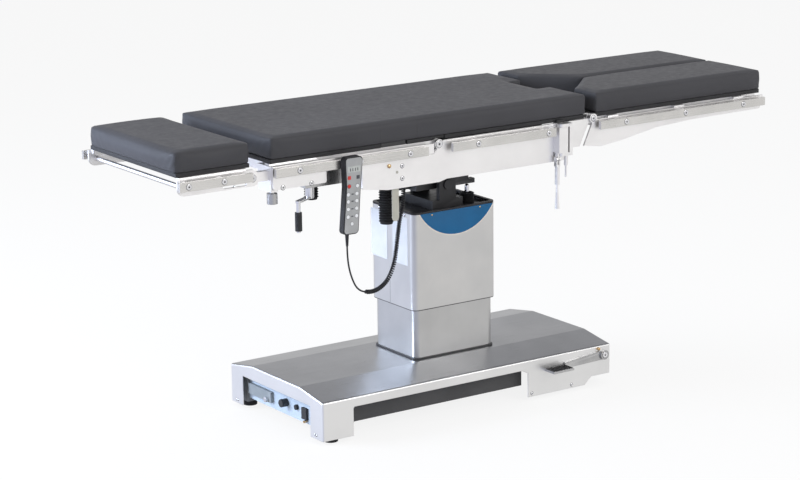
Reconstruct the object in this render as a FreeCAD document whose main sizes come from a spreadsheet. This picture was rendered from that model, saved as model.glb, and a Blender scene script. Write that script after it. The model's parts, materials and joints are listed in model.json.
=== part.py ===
import FreeCAD, Part
import math
import os
import re

import Sketcher

# Operating table, millimetres. The origin is on the floor under the column,
# +X runs to the leg end, -Y is the side with the hand control, +Z is up.
os.makedirs("parts", exist_ok=True)
doc = FreeCAD.newDocument("operating_table")
sheet = doc.addObject("Spreadsheet::Sheet", "sizes")
aliases = set()
sub_parts = []
near_and_far = (("near", -1), ("far", 1))


def add_sizes(values):
    """Add named values to the sheet."""
    for alias, value in values.items():
        row = len(aliases) + 1
        sheet.set("A%d" % row, alias)
        sheet.set("B%d" % row, str(value))
        sheet.setAlias("B%d" % row, alias)
        aliases.add(alias)
    doc.recompute()


def bound(text):
    """Turn a sum of size names into an expression on the sheet."""
    return re.sub(r"[a-z_]\w*", lambda m: "sizes." + m[0] if m[0] in aliases else m[0], str(text))


def value_of(text):
    return float(sheet.evalExpression(bound(text)))


def place(thing, x="0", y="0", z="0"):
    for axis, text in (("x", x), ("y", y), ("z", z)):
        thing.setExpression("Placement.Base." + axis, bound(text))
    return thing


def box(name, x, y, z):
    """A block between two corners, each given as low and high."""
    block = doc.addObject("Part::Box", name)
    for side, (low, high) in (("Length", x), ("Width", y), ("Height", z)):
        block.setExpression(side, bound("(%s)-(%s)" % (high, low)))
    return place(block, x[0], y[0], z[0])


turns = {
    "x": FreeCAD.Rotation(FreeCAD.Vector(0, 1, 0), 90),
    "y": FreeCAD.Rotation(FreeCAD.Vector(1, 0, 0), -90),
    "z": FreeCAD.Rotation(),
}


def stand(thing, axis, centre, low):
    """Turn a round piece to its axis and put its lower end at low."""
    thing.Placement.Rotation = turns[axis]
    spots = {"x": (low, *centre), "y": (centre[0], low, centre[1]), "z": (*centre, low)}
    return place(thing, *spots[axis])


def rod(name, axis, centre, radius, low, high):
    bar = doc.addObject("Part::Cylinder", name)
    bar.setExpression("Radius", bound(radius))
    bar.setExpression("Height", bound("(%s)-(%s)" % (high, low)))
    return stand(bar, axis, centre, low)


def taper(name, axis, centre, low_radius, high_radius, low, high):
    bar = doc.addObject("Part::Cone", name)
    bar.setExpression("Radius1", bound(low_radius))
    bar.setExpression("Radius2", bound(high_radius))
    bar.setExpression("Height", bound("(%s)-(%s)" % (high, low)))
    return stand(bar, axis, centre, low)


def sketch_on(body, plane, points):
    """A closed outline of straight lines with every corner bound to the sheet."""
    sketch = body.newObject("Sketcher::SketchObject", body.Name + "_outline")
    face = [f for f in body.Origin.OriginFeatures if f.Role == plane][0]
    sketch.AttachmentSupport = [(face, "")]
    sketch.MapMode = "FlatFace"
    spots = [FreeCAD.Vector(value_of(u), value_of(v), 0) for u, v in points]
    for here, there in zip(spots, spots[1:] + spots[:1]):
        sketch.addGeometry(Part.LineSegment(here, there))
    for i, (u, v) in enumerate(points):
        after = (i + 1) % len(points)
        sketch.addConstraint(Sketcher.Constraint("Coincident", i, 2, after, 1))
        for kind, text in (("DistanceX", u), ("DistanceY", v)):
            number = sketch.addConstraint(Sketcher.Constraint(kind, -1, 1, i, 1, value_of(text)))
            sketch.setExpression("Constraints[%d]" % number, bound(text))
    return sketch


def prism(name, plane, points, low, high, rounds=()):
    """An outline in plane xz, xy or yz, drawn out from low to high.

    rounds holds pairs of the corners' numbers and their radius.
    """
    roles = {"xz": ("XZ_Plane", "y"), "xy": ("XY_Plane", "z"), "yz": ("YZ_Plane", "x")}
    role, axis = roles[plane]
    body = doc.addObject("PartDesign::Body", name)
    sketch = sketch_on(body, role, points)
    pad = body.newObject("PartDesign::Pad", name + "_pad")
    pad.Profile = sketch
    pad.Reversed = plane == "xz"
    pad.setExpression("Length", bound("(%s)-(%s)" % (high, low)))
    place(body, **{axis: low})
    doc.recompute()
    last = pad
    for corners, radius in rounds:
        spots = [tuple(value_of(text) for text in points[i]) for i in corners]
        edges = edges_at(last.Shape, plane, spots)
        smooth = body.newObject("PartDesign::Fillet", name + "_round")
        smooth.Base = (last, edges)
        smooth.setExpression("Radius", bound(radius))
        doc.recompute()
        last = smooth
    return body


def edges_at(shape, plane, spots):
    """Names of the edges that stand on the given corners of an outline."""
    first, second, along = {"xz": (0, 2, 1), "xy": (0, 1, 2), "yz": (1, 2, 0)}[plane]
    found = []
    for number, edge in enumerate(shape.Edges):
        ends = [vertex.Point for vertex in edge.Vertexes]
        if len(ends) < 2 or abs(ends[0][along] - ends[1][along]) < 0.01:
            continue
        for spot in spots:
            if all(math.dist((end[first], end[second]), spot) < 0.01 for end in ends):
                found.append("Edge%d" % (number + 1))
    return found


def tube(name, length, width, radius, wall, low, high):
    """An upright tube of rounded rectangular section on the column's axis."""

    def stem(label, shrink):
        u, v = "(%s)/2-(%s)" % (length, shrink), "(%s)/2-(%s)" % (width, shrink)
        corners = [("-(%s)" % u, "-(%s)" % v), (u, "-(%s)" % v), (u, v), ("-(%s)" % u, v)]
        rounding = "max(0.5;(%s)-(%s))" % (radius, shrink)
        return prism(label, "xy", corners, low, high, [(range(4), rounding)])

    return cut(name, stem(name + "_outside", "0"), stem(name + "_inside", wall))


def cut(name, base, *tools):
    for number, tool in enumerate(tools):
        less = doc.addObject("Part::Cut", "%s_%d" % (name, number))
        less.Base = base
        less.Tool = tool
        base = less
    return base


def fuse(name, *pieces):
    whole = doc.addObject("Part::MultiFuse", name)
    whole.Shapes = list(pieces)
    return whole


def group(name, *pieces):
    """Separate solids that share one node."""
    together = doc.addObject("Part::Compound", name)
    together.Links = list(pieces)
    return together


def mirrored(piece):
    """The same piece on the far side."""
    other = doc.addObject("Part::Mirroring", piece.Name + "_far")
    other.Source = piece
    other.Normal = FreeCAD.Vector(0, 1, 0)
    return other


def both(piece):
    return [piece, mirrored(piece)]


def node(label, piece):
    piece.Label = label
    sub_parts.append(piece)
    return piece


def round_edges(body, radius, wanted):
    """Round the edges of a body whose two end points both pass a test."""
    last = body.Tip
    names = []
    for number, edge in enumerate(last.Shape.Edges):
        ends = [vertex.Point for vertex in edge.Vertexes]
        if len(ends) > 1 and wanted(ends):
            names.append("Edge%d" % (number + 1))
    smooth = body.newObject("PartDesign::Fillet", body.Name + "_edges")
    smooth.Base = (last, names)
    smooth.setExpression("Radius", bound(radius))
    doc.recompute()
    return body


# Fits shared by the whole table
fit_sizes = {
    "air_gap": 0.3,
    "running_gap": 0.05,
    "past": 5,
}
add_sizes(fit_sizes)

# Base
base_sizes = {
    "base_head_reach": 566,
    "base_leg_reach": 479,
    "base_width": 508,
    "base_edge_height": 127,
    "base_ridge_height": 147,
    "base_ridge_width": 260,
    "skirt_clearance": 12,
    "cover_wall": 3,
    "cover_edge_radius": 6,
    "end_opening_inset": 67.5,
    "end_opening_width": "=base_width-2*end_opening_inset",
    "end_opening_top": 103,
    "side_opening_head_wall": 105,
    "side_opening_head": "=base_head_reach-side_opening_head_wall",
    "side_opening_leg": 142,
    "side_opening_slope": 22,
    "side_opening_top": 98,
    "step_setback": 99,
    "step_start": "=base_leg_reach-step_setback",
    "step_run": 25,
    "step_height": 34.6,
    "chassis_plate_drop": 15,
    "chassis_plate_level": "=base_edge_height-chassis_plate_drop",
    "chassis_plate_thick": 8,
    "post_width": 40,
    "foot_radius": 21,
    "foot_height": 14,
    "head_foot_setback": 46,
    "head_foot_reach": "=base_head_reach-head_foot_setback",
    "head_foot_inset": 32,
    "head_foot_spread": "=base_width/2-head_foot_inset",
    "leg_foot_setback": 149,
    "leg_foot_reach": "=base_leg_reach-leg_foot_setback",
    "leg_foot_inset": 64,
    "leg_foot_spread": "=base_width/2-leg_foot_inset",
    "kick_panel_setback": 40,
    "kick_panel_thick": 3,
    "kick_panel_bottom": 39,
    "end_panel_setback": 27,
    "end_panel_thick": 3,
    "end_panel_bottom": 30,
    "guide_pin_radius": 8,
    "guide_pin_reach": 300,
}
add_sizes(base_sizes)
chassis_top = "(chassis_plate_level+chassis_plate_thick)"
inner_half_width = "(base_width/2-cover_wall)"
end_panel_face = "(-base_head_reach+end_panel_setback)"

# Brake pedal and the castors that it lowers
pedal_and_castor_sizes = {
    "pedal_pivot_setback": 30,
    "pedal_pivot_reach": "=base_leg_reach-pedal_pivot_setback",
    "pedal_pivot_level": 98,
    "pedal_shaft_radius": 10,
    "pedal_bearing_inset": 22,
    "pedal_bearing_spread": "=base_width/2-pedal_bearing_inset",
    "pedal_bearing_wide": 14,
    "pedal_hole_gap": 2,
    "pedal_boss_radius": 15,
    "pedal_arm_thick": 6,
    "pedal_arm_tip_half": 9,
    "pedal_plate_head": 230,
    "pedal_plate_leg": 306,
    "pedal_arm_overlap": 6,
    "pedal_arm_tip_reach": "=pedal_plate_leg-pedal_arm_overlap",
    "pedal_plate_deep": 42,
    "pedal_plate_thick": 7,
    "castor_radius": 25,
    "castor_width": 22,
    "castor_lift": 4,
    "castor_drop": 10,
    "castor_setback": 55,
    "castor_reach": "=base_leg_reach-castor_setback",
    "castor_inset": 51,
    "castor_spread": "=base_width/2-castor_inset",
    "castor_trail": 15,
    "castor_pin_radius": 4,
    "castor_cheek": 4,
    "castor_stem_radius": 10,
    "carrier_level": 70,
    "carrier_thick": 15,
    "carrier_bar_width": 30,
    "roller_setback": 136,
    "roller_reach": "=base_head_reach-roller_setback",
    "roller_inset": 94,
    "roller_spread": "=base_width/2-roller_inset",
    "roller_axle_radius": 8,
}
add_sizes(pedal_and_castor_sizes)
axle_level = "(castor_radius+castor_lift)"
carrier_top = "(carrier_level+carrier_thick)"


def base_cover():
    half, edge = "base_width/2", "base_edge_height"
    outline = [("-" + half, "skirt_clearance"), ("-" + half, edge),
               ("-base_ridge_width/2", "base_ridge_height"), ("base_ridge_width/2", "base_ridge_height"),
               (half, edge), (half, "skirt_clearance")]
    outside = prism("cover_outside", "yz", outline, "-base_head_reach", "base_leg_reach",
                    [((1, 4), "cover_edge_radius")])
    low = value_of("skirt_clearance")
    round_edges(outside, "cover_edge_radius",
                lambda tips: abs(tips[0].x - tips[1].x) < 0.01 and max(tip.z for tip in tips) > low + 1)
    wall, inner = "cover_wall", inner_half_width
    hollow = [("-" + inner, "-past"), ("-" + inner, edge + "-" + wall),
              ("-base_ridge_width/2", "base_ridge_height-" + wall),
              ("base_ridge_width/2", "base_ridge_height-" + wall),
              (inner, edge + "-" + wall), (inner, "-past")]
    inside = prism("cover_inside", "yz", hollow, "-base_head_reach+cover_wall", "base_leg_reach-cover_wall")
    end_opening = box("end_opening", ("-base_head_reach-past", "-base_head_reach+past"),
                      ("-end_opening_width/2", "end_opening_width/2"), ("-past", "end_opening_top"))
    across = ("-base_width/2-past", "base_width/2+past")
    side_opening = prism("side_openings", "xz", [
        ("-side_opening_head", "-past"), ("-side_opening_head", "side_opening_top"),
        ("side_opening_leg", "side_opening_top"),
        ("side_opening_leg+side_opening_slope", "side_opening_top-side_opening_slope/2"),
        ("side_opening_leg+side_opening_slope", "-past")], *across, [((1,), "cover_edge_radius")])
    step = prism("skirt_step", "xz", [
        ("step_start", "-past"), ("step_start", "skirt_clearance"), ("step_start+step_run", "step_height"),
        ("base_leg_reach+past", "step_height"), ("base_leg_reach+past", "-past")], *across)
    mast_hole = box("mast_hole", ("-guide_length/2-past", "guide_length/2+past"),
                    ("-guide_width/2-past", "guide_width/2+past"),
                    ("base_edge_height", "base_ridge_height+past"))
    shaft_hole = rod("pedal_shaft_hole", "y", ("pedal_pivot_reach", "pedal_pivot_level"),
                     "pedal_shaft_radius+pedal_hole_gap", "-base_width/2-past", "0")
    return cut("base_cover", outside, inside, end_opening, side_opening, step, mast_hole, shaft_hole)


def foot_places():
    for x, y in (("-head_foot_reach", "head_foot_spread"), ("leg_foot_reach", "leg_foot_spread")):
        for sign in ("-", ""):
            yield x, sign + y


def base_chassis():
    plate = box("chassis_plate", ("-base_head_reach+cover_wall", "base_leg_reach-cover_wall"),
                ("-" + inner_half_width, inner_half_width), ("chassis_plate_level", chassis_top))
    pieces = [plate]
    for number, (x, y) in enumerate(foot_places()):
        pieces.append(box("foot_post_%d" % number, (x + "-post_width/2", x + "+post_width/2"),
                          (y + "-post_width/2", y + "+post_width/2"), ("foot_height", "chassis_plate_level")))
    for sign in ("-", ""):
        pieces.append(rod("guide_pin", "z", (sign + "guide_pin_reach", "0"), "guide_pin_radius",
                          "carrier_level-castor_drop-past", "chassis_plate_level"))
        pieces.append(box("pedal_bearing", ("pedal_pivot_reach-pedal_bearing_wide",
                                            "pedal_pivot_reach+pedal_bearing_wide"),
                          (sign + "pedal_bearing_spread-pedal_bearing_wide/2",
                           sign + "pedal_bearing_spread+pedal_bearing_wide/2"),
                          ("pedal_pivot_level-pedal_bearing_wide", "chassis_plate_level")))
    bore = rod("pedal_bore", "y", ("pedal_pivot_reach", "pedal_pivot_level"),
               "pedal_shaft_radius+running_gap", "-base_width/2", "base_width/2")
    return cut("base_chassis", fuse("chassis_weldment", *pieces), bore)


def base_feet():
    feet = [rod("foot_%d" % number, "z", spot, "foot_radius", "0", "foot_height")
            for number, spot in enumerate(foot_places())]
    return group("base_feet", *feet)


def base_trim():
    """The set-back kick panels and the gasket under the column."""
    panel = box("kick_panel", ("-side_opening_head-past", "side_opening_leg+side_opening_slope+past"),
                ("-base_width/2+kick_panel_setback", "-base_width/2+kick_panel_setback+kick_panel_thick"),
                ("kick_panel_bottom", "chassis_plate_level"))
    gasket = tube("column_gasket", "lower_cover_length+2*gasket_lip", "lower_cover_width+2*gasket_lip",
                  "cover_corner_radius", "gasket_lip+cover_tube_wall+past", "base_ridge_height",
                  "base_ridge_height+gasket_height")
    return group("base_trim", *both(panel), gasket)


def control_panel():
    return box("control_panel", (end_panel_face, end_panel_face + "+end_panel_thick"),
               ("-end_opening_width/2-past", "end_opening_width/2+past"),
               ("end_panel_bottom", "chassis_plate_level"))


panel_fitting_sizes = {
    "battery_far": 184, "battery_near": 56, "battery_bottom": 48, "battery_top": 81, "battery_deep": 10,
    "thumb_screw_y": 76, "thumb_screw_z": 56, "thumb_screw_radius": 8, "thumb_screw_long": 9,
    "supply_plug_y": -18, "supply_plug_z": 68, "supply_plug_radius": 12, "supply_plug_long": 22,
    "small_socket_y": -76, "small_socket_z": 68, "small_socket_radius": 8, "small_socket_long": 8,
    "inlet_y": -121, "inlet_z": 60, "inlet_wide": 26, "inlet_tall": 34, "inlet_deep": 8,
    "stud_y": -127, "stud_z": 38, "stud_radius": 4, "stud_long": 12,
}
add_sizes(panel_fitting_sizes)


def panel_fittings():
    """Battery case with its thumb screw, two sockets, the mains inlet and the earth stud."""
    battery_face = end_panel_face + "-battery_deep"
    pieces = [box("battery_case", (battery_face, end_panel_face), ("battery_near", "battery_far"),
                  ("battery_bottom", "battery_top"))]
    for name, back in (("thumb_screw", battery_face), ("supply_plug", end_panel_face),
                       ("small_socket", end_panel_face), ("stud", end_panel_face)):
        pieces.append(rod(name, "x", (name + "_y", name + "_z"), name + "_radius",
                          back + "-" + name + "_long", back))
    pieces.append(box("mains_inlet", (end_panel_face + "-inlet_deep", end_panel_face),
                      ("inlet_y-inlet_wide/2", "inlet_y+inlet_wide/2"),
                      ("inlet_z-inlet_tall/2", "inlet_z+inlet_tall/2")))
    return group("panel_fittings", *pieces)


def castor_carrier():
    level = ("carrier_level", carrier_top)
    spine = box("carrier_spine", ("-roller_reach", "castor_reach"),
                ("-carrier_bar_width/2", "carrier_bar_width/2"), level)
    leg_bar = box("carrier_leg_bar", ("castor_reach-carrier_bar_width/2", "castor_reach+carrier_bar_width/2"),
                  ("-castor_spread-carrier_bar_width/2", "castor_spread+carrier_bar_width/2"), level)
    head_bar = box("carrier_head_bar", ("-roller_reach-carrier_bar_width/2",
                                        "-roller_reach+carrier_bar_width/2"),
                   ("-roller_spread", "roller_spread"), level)
    pieces = [spine, leg_bar, head_bar]
    holes = []
    inner_edge = "roller_spread-castor_width/2-air_gap-past"
    for sign in ("-", ""):
        edges = [sign + "(%s)" % inner_edge, sign + "(%s-castor_cheek)" % inner_edge]
        pieces.append(box("roller_hanger", ("-roller_reach-carrier_bar_width/2",
                                            "-roller_reach+carrier_bar_width/2"),
                          tuple(edges) if sign == "-" else tuple(edges[::-1]),
                          (axle_level + "-carrier_bar_width/2", "carrier_level")))
        holes.append(rod("guide_hole", "z", (sign + "guide_pin_reach", "0"), "guide_pin_radius+running_gap",
                         "carrier_level-past", carrier_top + "+past"))
        holes.append(rod("stem_hole", "z", ("castor_reach", sign + "castor_spread"),
                         "castor_stem_radius+running_gap", "carrier_level-past", carrier_top + "+past"))
    holes.append(rod("roller_bore", "y", ("-roller_reach", axle_level), "roller_axle_radius+running_gap",
                     "-roller_spread", "roller_spread"))
    return cut("castor_carrier", fuse("carrier_weldment", *pieces), *holes)


def castor_fork(name):
    middle = "-castor_spread"
    back, front = "castor_reach-castor_trail-castor_radius*0.4", "castor_reach+castor_stem_radius"
    outer = "castor_width/2+air_gap+castor_cheek"
    top = box(name + "_crown", (back, front), (middle + "-(%s)" % outer, middle + "+" + outer),
              ("carrier_level-air_gap-castor_cheek", "carrier_level-air_gap"))
    stem = rod(name + "_stem", "z", ("castor_reach", middle), "castor_stem_radius",
               "carrier_level-air_gap", carrier_top + "+castor_cheek")
    pieces = [top, stem]
    for low in (middle + "-(%s)" % outer, middle + "+castor_width/2+air_gap"):
        pieces.append(box(name + "_cheek", (back, "castor_reach"), (low, low + "+castor_cheek"),
                          (axle_level + "-castor_radius*0.35", "carrier_level-air_gap")))
    pieces.append(rod(name + "_pin", "y", ("castor_reach-castor_trail", axle_level), "castor_pin_radius",
                      middle + "-(%s)" % outer, middle + "+" + outer))
    return fuse(name, *pieces)


def castor_wheel(name):
    middle = "-castor_spread"
    span = (middle + "-castor_width/2", middle + "+castor_width/2")
    spot = ("castor_reach-castor_trail", axle_level)
    tread = rod(name + "_tread", "y", spot, "castor_radius", *span)
    return cut(name, tread, rod(name + "_bore", "y", spot, "castor_pin_radius+running_gap", *span))


def roller_axle():
    spot = ("-roller_reach", axle_level)
    axle = rod("head_axle", "y", spot, "roller_axle_radius", "-roller_spread-castor_width/2",
               "roller_spread+castor_width/2")
    wheels = [rod("head_roller", "y", spot, "castor_radius", middle + "-castor_width/2",
                  middle + "+castor_width/2")
              for middle in ("-roller_spread", "roller_spread")]
    return fuse("roller_axle", axle, *wheels)


def brake_pedal():
    outside, spot = "(-base_width/2-air_gap)", ("pedal_pivot_reach", "pedal_pivot_level")
    shaft = rod("pedal_shaft", "y", spot, "pedal_shaft_radius", outside,
                "pedal_bearing_spread+pedal_bearing_wide")
    boss = rod("pedal_boss", "y", spot, "pedal_boss_radius", outside + "-2*pedal_arm_thick", outside)
    low, high = "pedal_pivot_level-pedal_boss_radius", "pedal_pivot_level+pedal_boss_radius"
    arm = prism("pedal_arm", "xz", [
        ("pedal_arm_tip_reach", "pedal_pivot_level-2*pedal_arm_tip_half"), ("pedal_pivot_reach", low),
        ("pedal_pivot_reach", high), ("pedal_arm_tip_reach", "pedal_pivot_level")],
        outside + "-pedal_arm_thick", outside)
    top = "pedal_pivot_level-pedal_arm_tip_half"
    plate = box("pedal_plate", ("pedal_plate_head", "pedal_plate_leg"),
                (outside + "-pedal_plate_deep", outside), (top + "-pedal_plate_thick", top))
    return fuse("brake_pedal", shaft, boss, arm, plate)


# Column: two fixed shells and two that rise
column_sizes = {
    "gasket_height": 4.5,
    "gasket_lip": 4,
    "lower_cover_length": 285.5,
    "lower_cover_width": 215.5,
    "cover_corner_radius": 20,
    "cover_tube_wall": 2,
    "lower_cover_shown": 148,
    "lower_cover_tall": 268,
    "middle_cover_tall": 200,
    "middle_cover_gap": 0.8,
    "middle_cover_wall": 1.5,
    "upper_cover_length": 300.8,
    "upper_cover_width": 226.6,
    "upper_cover_tall": 289,
    "rim_tall": 6,
    "deck_drop": 16,
    "deck_thick": 6,
    "guide_length": 160,
    "guide_width": 140,
    "guide_wall": 6,
    "guide_corner": 8,
    "guide_tall": 280,
    "stage_gap": 0.5,
    "middle_mast_rise": 113.5,
    "middle_mast_tall": 225,
    "mast_below_deck": 313.5,
    "screw_radius": 12,
    "head_length": 110,
    "head_top_above_deck": 28,
    "ear_inner": 60,
    "ear_thick": 16,
    "ear_half": 30,
    "ear_above_axis": 18,
    "pitch_axis_above_rim": 62,
    "pitch_pin_radius": 15,
    "pusher_x": 96,
    "pusher_y": 40,
    "pusher_radius": 7,
    "pusher_apex_gap": 2.8,
    "pusher_long": 105,
    "pusher_case_radius": 15,
    "pusher_case_tall": 130,
    "pusher_gaiter_radius": 22,
    "pusher_gaiter_wall": 3,
    "pusher_gaiter_pleats": 7,
    "pusher_gaiter_pitch": 6.5,
    "gaiter_fold": 4,
}
add_sizes(column_sizes)
lower_foot = "(base_ridge_height+gasket_height)"
upper_foot = "(%s+lower_cover_shown)" % lower_foot
rim_foot = "(%s+upper_cover_tall)" % upper_foot
rim_top = "(%s+rim_tall)" % rim_foot
deck_top = "(%s-deck_drop+deck_thick)" % rim_top
deck_foot = "(%s-deck_thick)" % deck_top
pitch_axis = "(%s+pitch_axis_above_rim)" % rim_top
middle_length = "(lower_cover_length+2*(middle_cover_gap+middle_cover_wall))"
middle_width = "(lower_cover_width+2*(middle_cover_gap+middle_cover_wall))"
middle_mast_length = "(guide_length-2*(guide_wall+stage_gap))"
middle_mast_width = "(guide_width-2*(guide_wall+stage_gap))"
mast_length = "(%s-2*(guide_wall+stage_gap))" % middle_mast_length
mast_width = "(%s-2*(guide_wall+stage_gap))" % middle_mast_width


def column_lower_cover():
    return tube("column_lower_cover", "lower_cover_length", "lower_cover_width", "cover_corner_radius",
                "cover_tube_wall", lower_foot, lower_foot + "+lower_cover_tall")


def column_guide():
    """The fixed square guide with the lifting screw inside."""
    guide = tube("guide_tube", "guide_length", "guide_width", "guide_corner", "guide_wall",
                 chassis_top, chassis_top + "+guide_tall")
    screw = rod("lifting_screw", "z", ("0", "0"), "screw_radius", chassis_top, chassis_top + "+guide_tall")
    return group("column_guide", guide, screw)


def column_middle_cover():
    """The middle shell and the middle stage of the mast."""
    shell = tube("middle_shell", middle_length, middle_width, "cover_corner_radius", "middle_cover_wall",
                 upper_foot + "+middle_cover_gap", upper_foot + "+middle_cover_gap+middle_cover_tall")
    stage = tube("middle_mast", middle_mast_length, middle_mast_width, "guide_corner", "guide_wall",
                 lower_foot + "+middle_mast_rise", lower_foot + "+middle_mast_rise+middle_mast_tall")
    return group("column_middle_cover", shell, stage)


def column_upper_cover():
    return tube("column_upper_cover", "upper_cover_length", "upper_cover_width", "cover_corner_radius",
                "cover_tube_wall", upper_foot, rim_foot)


def pusher_spot():
    return ("pusher_x", "-pusher_y")


def column_rim():
    """The black frame on the upper cover and the deck inside it."""
    rim = tube("rim_ring", "upper_cover_length", "upper_cover_width", "cover_corner_radius", "2*rim_tall",
               rim_foot, rim_top)
    half_length = "(upper_cover_length/2-cover_tube_wall)"
    half_width = "(upper_cover_width/2-cover_tube_wall)"
    corners = [("-" + half_length, "-" + half_width), (half_length, "-" + half_width),
               (half_length, half_width), ("-" + half_length, half_width)]
    plate = prism("deck_plate", "xy", corners, deck_foot, deck_top,
                  [(range(4), "cover_corner_radius-cover_tube_wall")])
    opening = box("deck_opening", ("-head_length/2", "head_length/2"),
                  ("-ear_inner-ear_thick", "ear_inner+ear_thick"), (deck_foot + "-past", deck_top + "+past"))
    pusher_hole = rod("deck_pusher_hole", "z", pusher_spot(), "pusher_radius+running_gap",
                      deck_foot + "-past", deck_top + "+past")
    return group("column_rim", rim, cut("deck", plate, opening, pusher_hole))


def lift_mast():
    """The rising mast, its head with two ears, and the pusher's case."""
    deck_level = ("-ear_inner-ear_thick", "ear_inner+ear_thick")
    mast = tube("mast_tube", mast_length, mast_width, "guide_corner/2", "guide_wall",
                deck_foot + "-mast_below_deck", deck_foot)
    head = box("mast_head", ("-head_length/2", "head_length/2"), deck_level,
               (deck_foot, deck_top + "+head_top_above_deck"))
    pieces = [mast, head]
    for low in ("-ear_inner-ear_thick", "ear_inner"):
        pieces.append(box("ear", ("-ear_half", "ear_half"), (low, low + "+ear_thick"),
                          (deck_top, pitch_axis + "+ear_above_axis")))
    bore = rod("ear_bore", "y", ("0", pitch_axis), "pitch_pin_radius+running_gap",
               "-ear_inner-ear_thick-past", "ear_inner+ear_thick+past")
    case = rod("pusher_case", "z", pusher_spot(), "pusher_case_radius", deck_foot + "-pusher_case_tall",
               deck_foot)
    hole = rod("pusher_case_bore", "z", pusher_spot(), "pusher_radius+running_gap",
               deck_foot + "-pusher_case_tall+guide_wall", deck_foot)
    return group("lift_mast", cut("mast", fuse("mast_weldment", *pieces), bore), cut("case", case, hole))


def gaiter(name, spot, radius, wall, pleats, pitch, low):
    """A folded rubber sleeve: a stack of cones with a straight hole."""
    folds = []
    for number in range(int(value_of(pleats))):
        start = "%s+%d*%s" % (low, number, pitch)
        middle, end = start + "+%s/2" % pitch, start + "+" + pitch
        folds.append(taper(name + "_fold", "z", spot, radius + "-gaiter_fold", radius, start, middle))
        folds.append(taper(name + "_fold", "z", spot, radius, radius + "-gaiter_fold", middle, end))
    top = "%s+%s*%s" % (low, pleats, pitch)
    bore = rod(name + "_bore", "z", spot, radius + "-gaiter_fold-" + wall, low, top)
    return cut(name, fuse(name + "_folds", *folds), bore)


def pitch_gaiter():
    return gaiter("pitch_gaiter", pusher_spot(), "pusher_gaiter_radius", "pusher_gaiter_wall",
                  "pusher_gaiter_pleats", "pusher_gaiter_pitch", deck_top)


# Head of the column: pitch yoke, pusher and the saddle that tilts sideways
column_head_sizes = {
    "yoke_half_length": 95,
    "yoke_half_width": 50,
    "yoke_below_axis": 14,
    "yoke_above_axis": 28,
    "tilt_axis_above_pitch": 46,
    "pusher_pad_reach": 118,
    "pusher_pad_half": 10,
    "tilt_shaft_radius": 10,
    "tilt_bearing_radius": 15,
    "tilt_bearing_long": 20,
    "saddle_lug_inner": 45,
    "saddle_lug_long": 20,
    "saddle_head_reach": 104,
    "saddle_leg_reach": 66,
    "saddle_half_width": 165,
    "saddle_above_axis": 18,
    "saddle_thick": 12,
    "tilt_motor_radius": 22,
    "tilt_motor_long": 36,
    "runner_block_long": 50,
    "runner_block_tall": 16,
    "rail_track": 140,
    "slide_rail_wide": 20,
    "slide_rail_tall": 14,
    "slide_rail_floor": 6,
    "slide_rail_head": 190,
    "slide_rail_leg": 288,
}
add_sizes(column_head_sizes)
yoke_foot = "(%s-yoke_below_axis)" % pitch_axis
yoke_top = "(%s+yoke_above_axis)" % pitch_axis
tilt_axis = "(%s+tilt_axis_above_pitch)" % pitch_axis
saddle_foot = "(%s+saddle_above_axis)" % tilt_axis
saddle_top = "(%s+saddle_thick)" % saddle_foot
rail_foot = "(%s+slide_rail_floor)" % saddle_top
rail_top = "(%s+slide_rail_tall)" % rail_foot


def pitch_pusher():
    """The rod that pushes the yoke, with a round tip."""
    centre = "(%s-pusher_apex_gap-pusher_radius)" % yoke_foot
    stem = rod("pusher_stem", "z", pusher_spot(), "pusher_radius", centre + "-pusher_long", centre)
    tip = doc.addObject("Part::Sphere", "pusher_tip")
    tip.setExpression("Radius", bound("pusher_radius"))
    place(tip, *pusher_spot(), centre)
    return fuse("pitch_pusher", stem, tip)


def tilt_yoke():
    block = box("yoke_block", ("-yoke_half_length", "yoke_half_length"),
                ("-yoke_half_width", "yoke_half_width"), (yoke_foot, yoke_top))
    pins = rod("pitch_pins", "y", ("0", pitch_axis), "pitch_pin_radius", "-ear_inner-ear_thick-past",
               "ear_inner+ear_thick+past")
    shaft = rod("tilt_shaft", "x", ("0", tilt_axis), "tilt_shaft_radius", "-yoke_half_length",
                "yoke_half_length")
    pad = box("pusher_pad", ("yoke_half_length", "pusher_pad_reach"),
              ("-pusher_y-pusher_pad_half", "-pusher_y+pusher_pad_half"), (yoke_foot, pitch_axis))
    pieces = [block, pins, shaft, pad]
    for low in ("-yoke_half_length", "yoke_half_length-tilt_bearing_long"):
        span = (low, low + "+tilt_bearing_long")
        pieces.append(rod("tilt_bearing", "x", ("0", tilt_axis), "tilt_bearing_radius", *span))
        pieces.append(box("tilt_pedestal", span, ("-tilt_bearing_radius", "tilt_bearing_radius"),
                          (yoke_top, tilt_axis)))
    return fuse("tilt_yoke", *pieces)


def tilt_motor():
    level = "%s+%s" % (pitch_axis, "(yoke_above_axis-yoke_below_axis)/2")
    return rod("tilt_motor", "x", ("0", level), "tilt_motor_radius", "-yoke_half_length-tilt_motor_long",
               "-yoke_half_length")


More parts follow.
